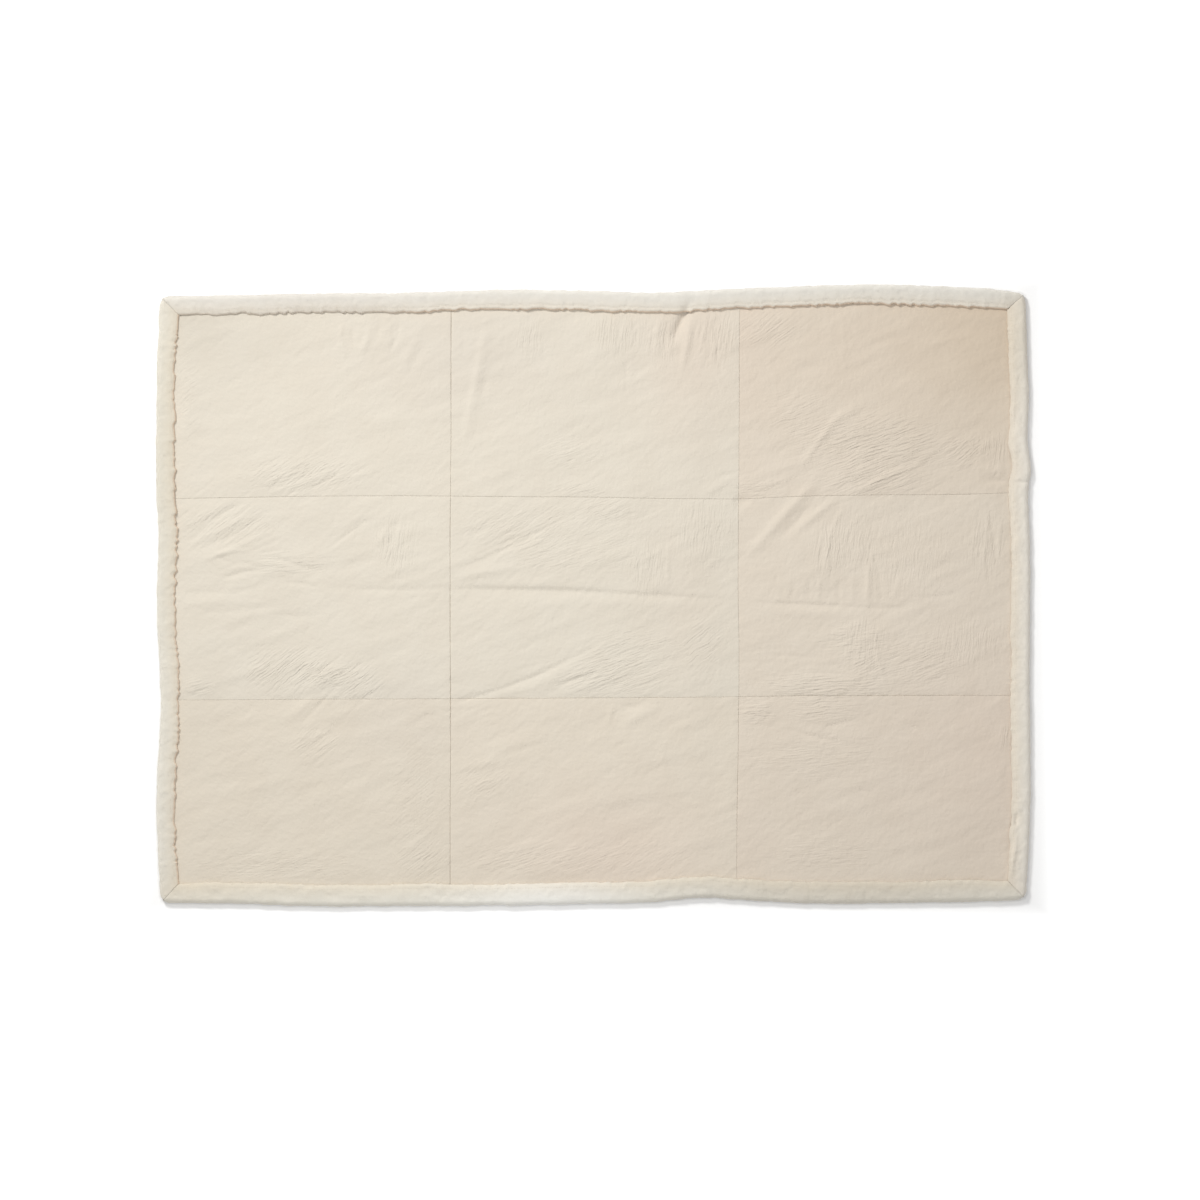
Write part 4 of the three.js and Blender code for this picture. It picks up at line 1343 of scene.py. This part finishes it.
def random_value(tree, limits, seed):
    """A random number between two limits for each thing that is laid, with a fixed seed."""
    node = add_node(tree, "FunctionNodeRandomValue", data_type="FLOAT", Seed=seed)
    for socket, value in zip([socket for socket in node.inputs if socket.enabled], limits):
        socket.default_value = value
    return node.outputs["Value"]


def lay_down(tree, end, material, **laid):
    """Lays a thing on points, makes each one real and gives it its material: a tree's end."""
    placed = add_node(tree, "GeometryNodeInstanceOnPoints", **laid).outputs["Instances"]
    real = add_node(tree, "GeometryNodeRealizeInstances", Geometry=placed).outputs["Geometry"]
    painted = add_node(tree, "GeometryNodeSetMaterial", Geometry=real, Material=material)
    feed(tree, end, Geometry=painted.outputs["Geometry"])
    return tree


def turned(tree, way, **given):
    """A rotation that turns one axis of a thing towards a way."""
    node = add_node(tree, "FunctionNodeAlignRotationToVector", Vector=way, **given)
    return node.outputs["Rotation"]


def fibre_tree():
    """Strews thin, bent fibres over a strip, lying down the way its wool curls."""
    tree, given, end = node_group(
        "wool fibres",
        {
            "Geometry": ("Geometry", None),
            "Fibres per square metre": ("Float", 10000.0),
            "Length": ("Float", 0.01),
            "Thickness": ("Float", 0.0003),
            "Seed": ("Int", 1),
            "Wool": ("Material", None),
        },
        {"Geometry": "Geometry"},
        "GeometryNodeTree",
    )
    density = maths(tree, "MULTIPLY", place_value(tree, "cover"), given["Fibres per square metre"])
    strew = add_node(tree, "GeometryNodeDistributePointsOnFaces", distribute_method="RANDOM")
    feed(tree, strew, Mesh=given["Geometry"], Density=density, Seed=given["Seed"])
    outward = strew.outputs["Normal"]

    cone = add_node(tree, "GeometryNodeMeshCone", Vertices=3, Side_Segments=3, Radius_Top=0.0)
    feed(tree, cone, Radius_Bottom=given["Thickness"], Depth=given["Length"])
    place = add_node(tree, "GeometryNodeInputPosition").outputs["Position"]
    level = parts_of(tree, place)["Z"]
    bend = maths(tree, "MULTIPLY", maths(tree, "POWER", level, 2.0), FIBRE_BEND)
    bent = add_node(tree, "GeometryNodeSetPosition", Geometry=cone.outputs["Mesh"])
    feed(tree, bent, Offset=vector_of(tree, Y=bend))

    curl = noise(tree, place, 140.0, 3.0, output="Color")
    wild = vector_maths(tree, "SUBTRACT", curl, (0.5, 0.5, 0.5))
    along = vector_maths(tree, "CROSS_PRODUCT", outward, wild)
    along = vector_maths(tree, "NORMALIZE", along)
    lift = vector_maths(tree, "MULTIPLY", outward, (FIBRE_LIFT,) * 3)
    lying = turned(tree, vector_maths(tree, "ADD", along, lift), axis="Z")
    flat_side = vector_maths(tree, "MULTIPLY", outward, (-1, -1, -1))
    facing = turned(tree, flat_side, axis="X", pivot_axis="Z", Rotation=lying)
    reach = maths(tree, "MULTIPLY", given["Length"], FIBRE_SIZES[1])
    tip = maths(tree, "MULTIPLY_ADD", parts_of(tree, along)["Z"], reach, level)
    return lay_down(
        tree,
        end,
        given["Wool"],
        Points=strew.outputs["Points"],
        Instance=bent.outputs["Geometry"],
        Selection=maths(tree, "GREATER_THAN", tip, FIBRE_CLEARANCE / METRE),
        Rotation=facing,
        Scale=random_value(tree, FIBRE_SIZES, 3),
    )


def stitch_tree():
    """Lays a plump stitch on every point of a mesh, turned the way that the point says."""
    tree, given, end = node_group(
        "stitches",
        {
            "Geometry": ("Geometry", None),
            "Length": ("Float", 0.003),
            "Thickness": ("Float", 0.0006),
            "Thread": ("Material", None),
        },
        {"Geometry": "Geometry"},
        "GeometryNodeTree",
    )
    ball = add_node(tree, "GeometryNodeMeshUVSphere", Segments=5, Rings=4, Radius=0.5)
    size = vector_of(tree, X=given["Length"], Y=given["Thickness"], Z=given["Thickness"])
    shaped = add_node(tree, "GeometryNodeTransform", Geometry=ball.outputs["Mesh"], Scale=size)
    return lay_down(
        tree,
        end,
        given["Thread"],
        Points=given["Geometry"],
        Instance=shaped.outputs["Geometry"],
        Rotation=vector_of(tree, Z=place_value(tree, "heading")),
        Scale=random_value(tree, STITCH_SIZES, 9),
    )


def grow(host, name, tree, smooth=True, **settings):
    """Runs a geometry tree on a mesh, and keeps what it makes as a piece of its own."""
    modifier = host.modifiers.new(name, "NODES")
    modifier.node_group = tree
    for item in tree.interface.items_tree:
        value = settings.get(item.name.replace(" ", "_"))
        if item.in_out == "INPUT" and value is not None:
            modifier[item.identifier] = value
    graph = bpy.context.evaluated_depsgraph_get()
    grown = host.evaluated_get(graph)
    mesh = bpy.data.meshes.new_from_object(grown, preserve_all_data_layers=True, depsgraph=graph)
    host.modifiers.remove(modifier)
    return add_piece(name, mesh, smooth)


def spaced(line, pitch):
    """Points at an even pitch along a line, and its heading at each of them."""
    steps = np.linalg.norm(np.diff(line, axis=0), axis=1)
    reached = np.concatenate([[0], np.cumsum(steps)])
    at = np.arange(pitch / 2, reached[-1], pitch)
    points = np.stack([np.interp(at, reached, line[:, axis]) for axis in range(3)], axis=1)
    ahead = np.stack([np.interp(at + 1, reached, line[:, axis]) for axis in range(2)], axis=1)
    way = ahead - points[:, :2]
    return points, np.arctan2(way[:, 1], way[:, 0])


def sew(name, lines, pitch, stitch, slant, thread, tree):
    """Stitches along lines of points: stitch is its length and thickness."""
    rows = [spaced(line, pitch) for line in lines]
    points = np.vstack([row[0] for row in rows])
    headings = np.concatenate([row[1] for row in rows]) + math.radians(slant)
    strays = np.random.default_rng(STRAY_SEED).normal(0, STITCH_STRAY, len(headings))
    guide = write_mesh(f"{name} guide", points, [], thread)
    store_values(guide, "heading", headings + strays)
    length, thickness = (size / METRE for size in stitch)
    piece = grow(guide, name, tree, Length=length, Thickness=thickness, Thread=thread)
    bpy.data.objects.remove(guide)
    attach(piece, BODY)


def seam_lines(panels):
    """The middle lines of the seams between neighbouring panels, level with their shoulders."""
    lines = []
    for (column, row), cloth in panels.items():
        for other, own_line, its_line in (
            ((column + 1, row), (-1 - SHOULDER, slice(None)), (SHOULDER, slice(None))),
            ((column, row + 1), (slice(None), -1 - SHOULDER), (slice(None), SHOULDER)),
        ):
            if other in panels:
                lines.append((cloth.points()[own_line] + panels[other].points()[its_line]) / 2)
    return lines


# Camera, light and floor

def add_camera():
    """Looks straight down from far above, framed as the photo is."""
    data = bpy.data.cameras.new("camera")
    data.sensor_width = SENSOR
    data.lens = LENS
    data.clip_end = 100
    camera = bpy.data.objects.new("camera", data)
    bpy.context.scene.collection.objects.link(camera)
    pixel = PIXEL / METRE
    aside = (PHOTO_PIXELS / 2 - MIDDLE_PIXEL[0]) * pixel
    up = (MIDDLE_PIXEL[1] - PHOTO_PIXELS / 2) * pixel
    camera.location = (aside, up, PHOTO_PIXELS * pixel * LENS / SENSOR)
    bpy.context.scene.camera = camera


def add_light(name, place, aim, size, power):
    """A round lamp. Its place, its aim and its size are in metres."""
    data = bpy.data.lights.new(name, "AREA")
    data.shape = "DISK"
    data.size = size
    data.energy = power
    data.color = LAMP_COLOUR
    light = bpy.data.objects.new(name, data)
    bpy.context.scene.collection.objects.link(light)
    light.location = place
    light.rotation_euler = (Vector(aim) - Vector(place)).to_track_quat("-Z", "Y").to_euler()
    light.visible_camera = False


def add_floor():
    corners = [(-FLOOR, -FLOOR, 0), (FLOOR, -FLOOR, 0), (FLOOR, FLOOR, 0), (-FLOOR, FLOOR, 0)]
    write_mesh("floor", corners, [[0, 1, 2, 3]], floor_material(), smooth=False)


def floor_material():
    """White paper that glows a little, and more so away from the throw's outline."""
    material, tree, surface, place = new_material("white paper")
    feed(tree, surface, Base_Color=(0.95, 0.95, 0.95, 1), Roughness=0.9, Specular_IOR_Level=0.1)
    parts = parts_of(tree, place)
    along = maths(tree, "ABSOLUTE", maths(tree, "DIVIDE", parts["X"], LENGTH / 2 / METRE))
    across = maths(tree, "ABSOLUTE", maths(tree, "DIVIDE", parts["Y"], WIDTH / 2 / METRE))
    glow = eased(tree, maths(tree, "MAXIMUM", along, across), *GLOW_RIM, *GLOW)
    feed(tree, surface, Emission_Color=glow, Emission_Strength=1.0)
    return material


def add_world():
    world = bpy.data.worlds.new("studio")
    world.use_nodes = True
    background = world.node_tree.nodes["Background"]
    feed(world.node_tree, background, Color=(1, 1, 1, 1), Strength=0.40)
    bpy.context.scene.world = world


add_camera()
add_world()
add_light("key", place=(-2.8, 3.8, 4.6), aim=(0, 0, 0), size=1.3, power=231)
add_light("ceiling", place=(-0.1, 0.1, 2.5), aim=(-0.1, 0.1, 0), size=0.9, power=15)
add_floor()
bpy.context.scene.view_settings.view_transform = "Standard"

WOOL_FINISH = wool_material("cream wool", PALE)
THREAD = thread_material()
FIBRES = fibre_tree()
STITCHES = stitch_tree()
panels = {}
for row in range(PANELS_ACROSS):
    for column in range(PANELS_ALONG):
        name = panel_name(column, row)
        # The hide's tint is partly painted light, darker and warmer on the right-hand panels.
        finish = skin_material(f"cream sheepskin {name}", HIDE_TONES_AND_PAINTED_LIGHT.get(name, PALE))
        panels[column, row] = make_panel(column, row, finish, WOOL_FINISH)
sew("seam_stitches", seam_lines(panels), SEAM_PITCH, SEAM_STITCH, SEAM_SLANT, THREAD, STITCHES)

lip_lines = []
for number, side in enumerate(BORDER_SIDES):
    # Each strip gets its own copy of the wool, tinted as painted light and shade: lighter on the
    # bottom and right strips, darker on the top and left ones.
    finish = wool_material(f"cream wool {side.name}", side.tint)
    strip, lip_line = make_border(side, finish)
    lip_lines.append(lip_line)
    fibres = grow(
        strip,
        f"fibres_{side.name}",
        FIBRES,
        smooth=False,
        Fibres_per_square_metre=FIBRES_PER_SQUARE_METRE,
        Length=FIBRE_LENGTH / METRE,
        Thickness=FIBRE_THICKNESS / METRE,
        Seed=number + 1,
        Wool=finish,
    )
    for piece in (strip, fibres):
        dress(piece, side.name)
sew("border_stitches", lip_lines, BORDER_PITCH, BORDER_STITCH, 0, THREAD, STITCHES)
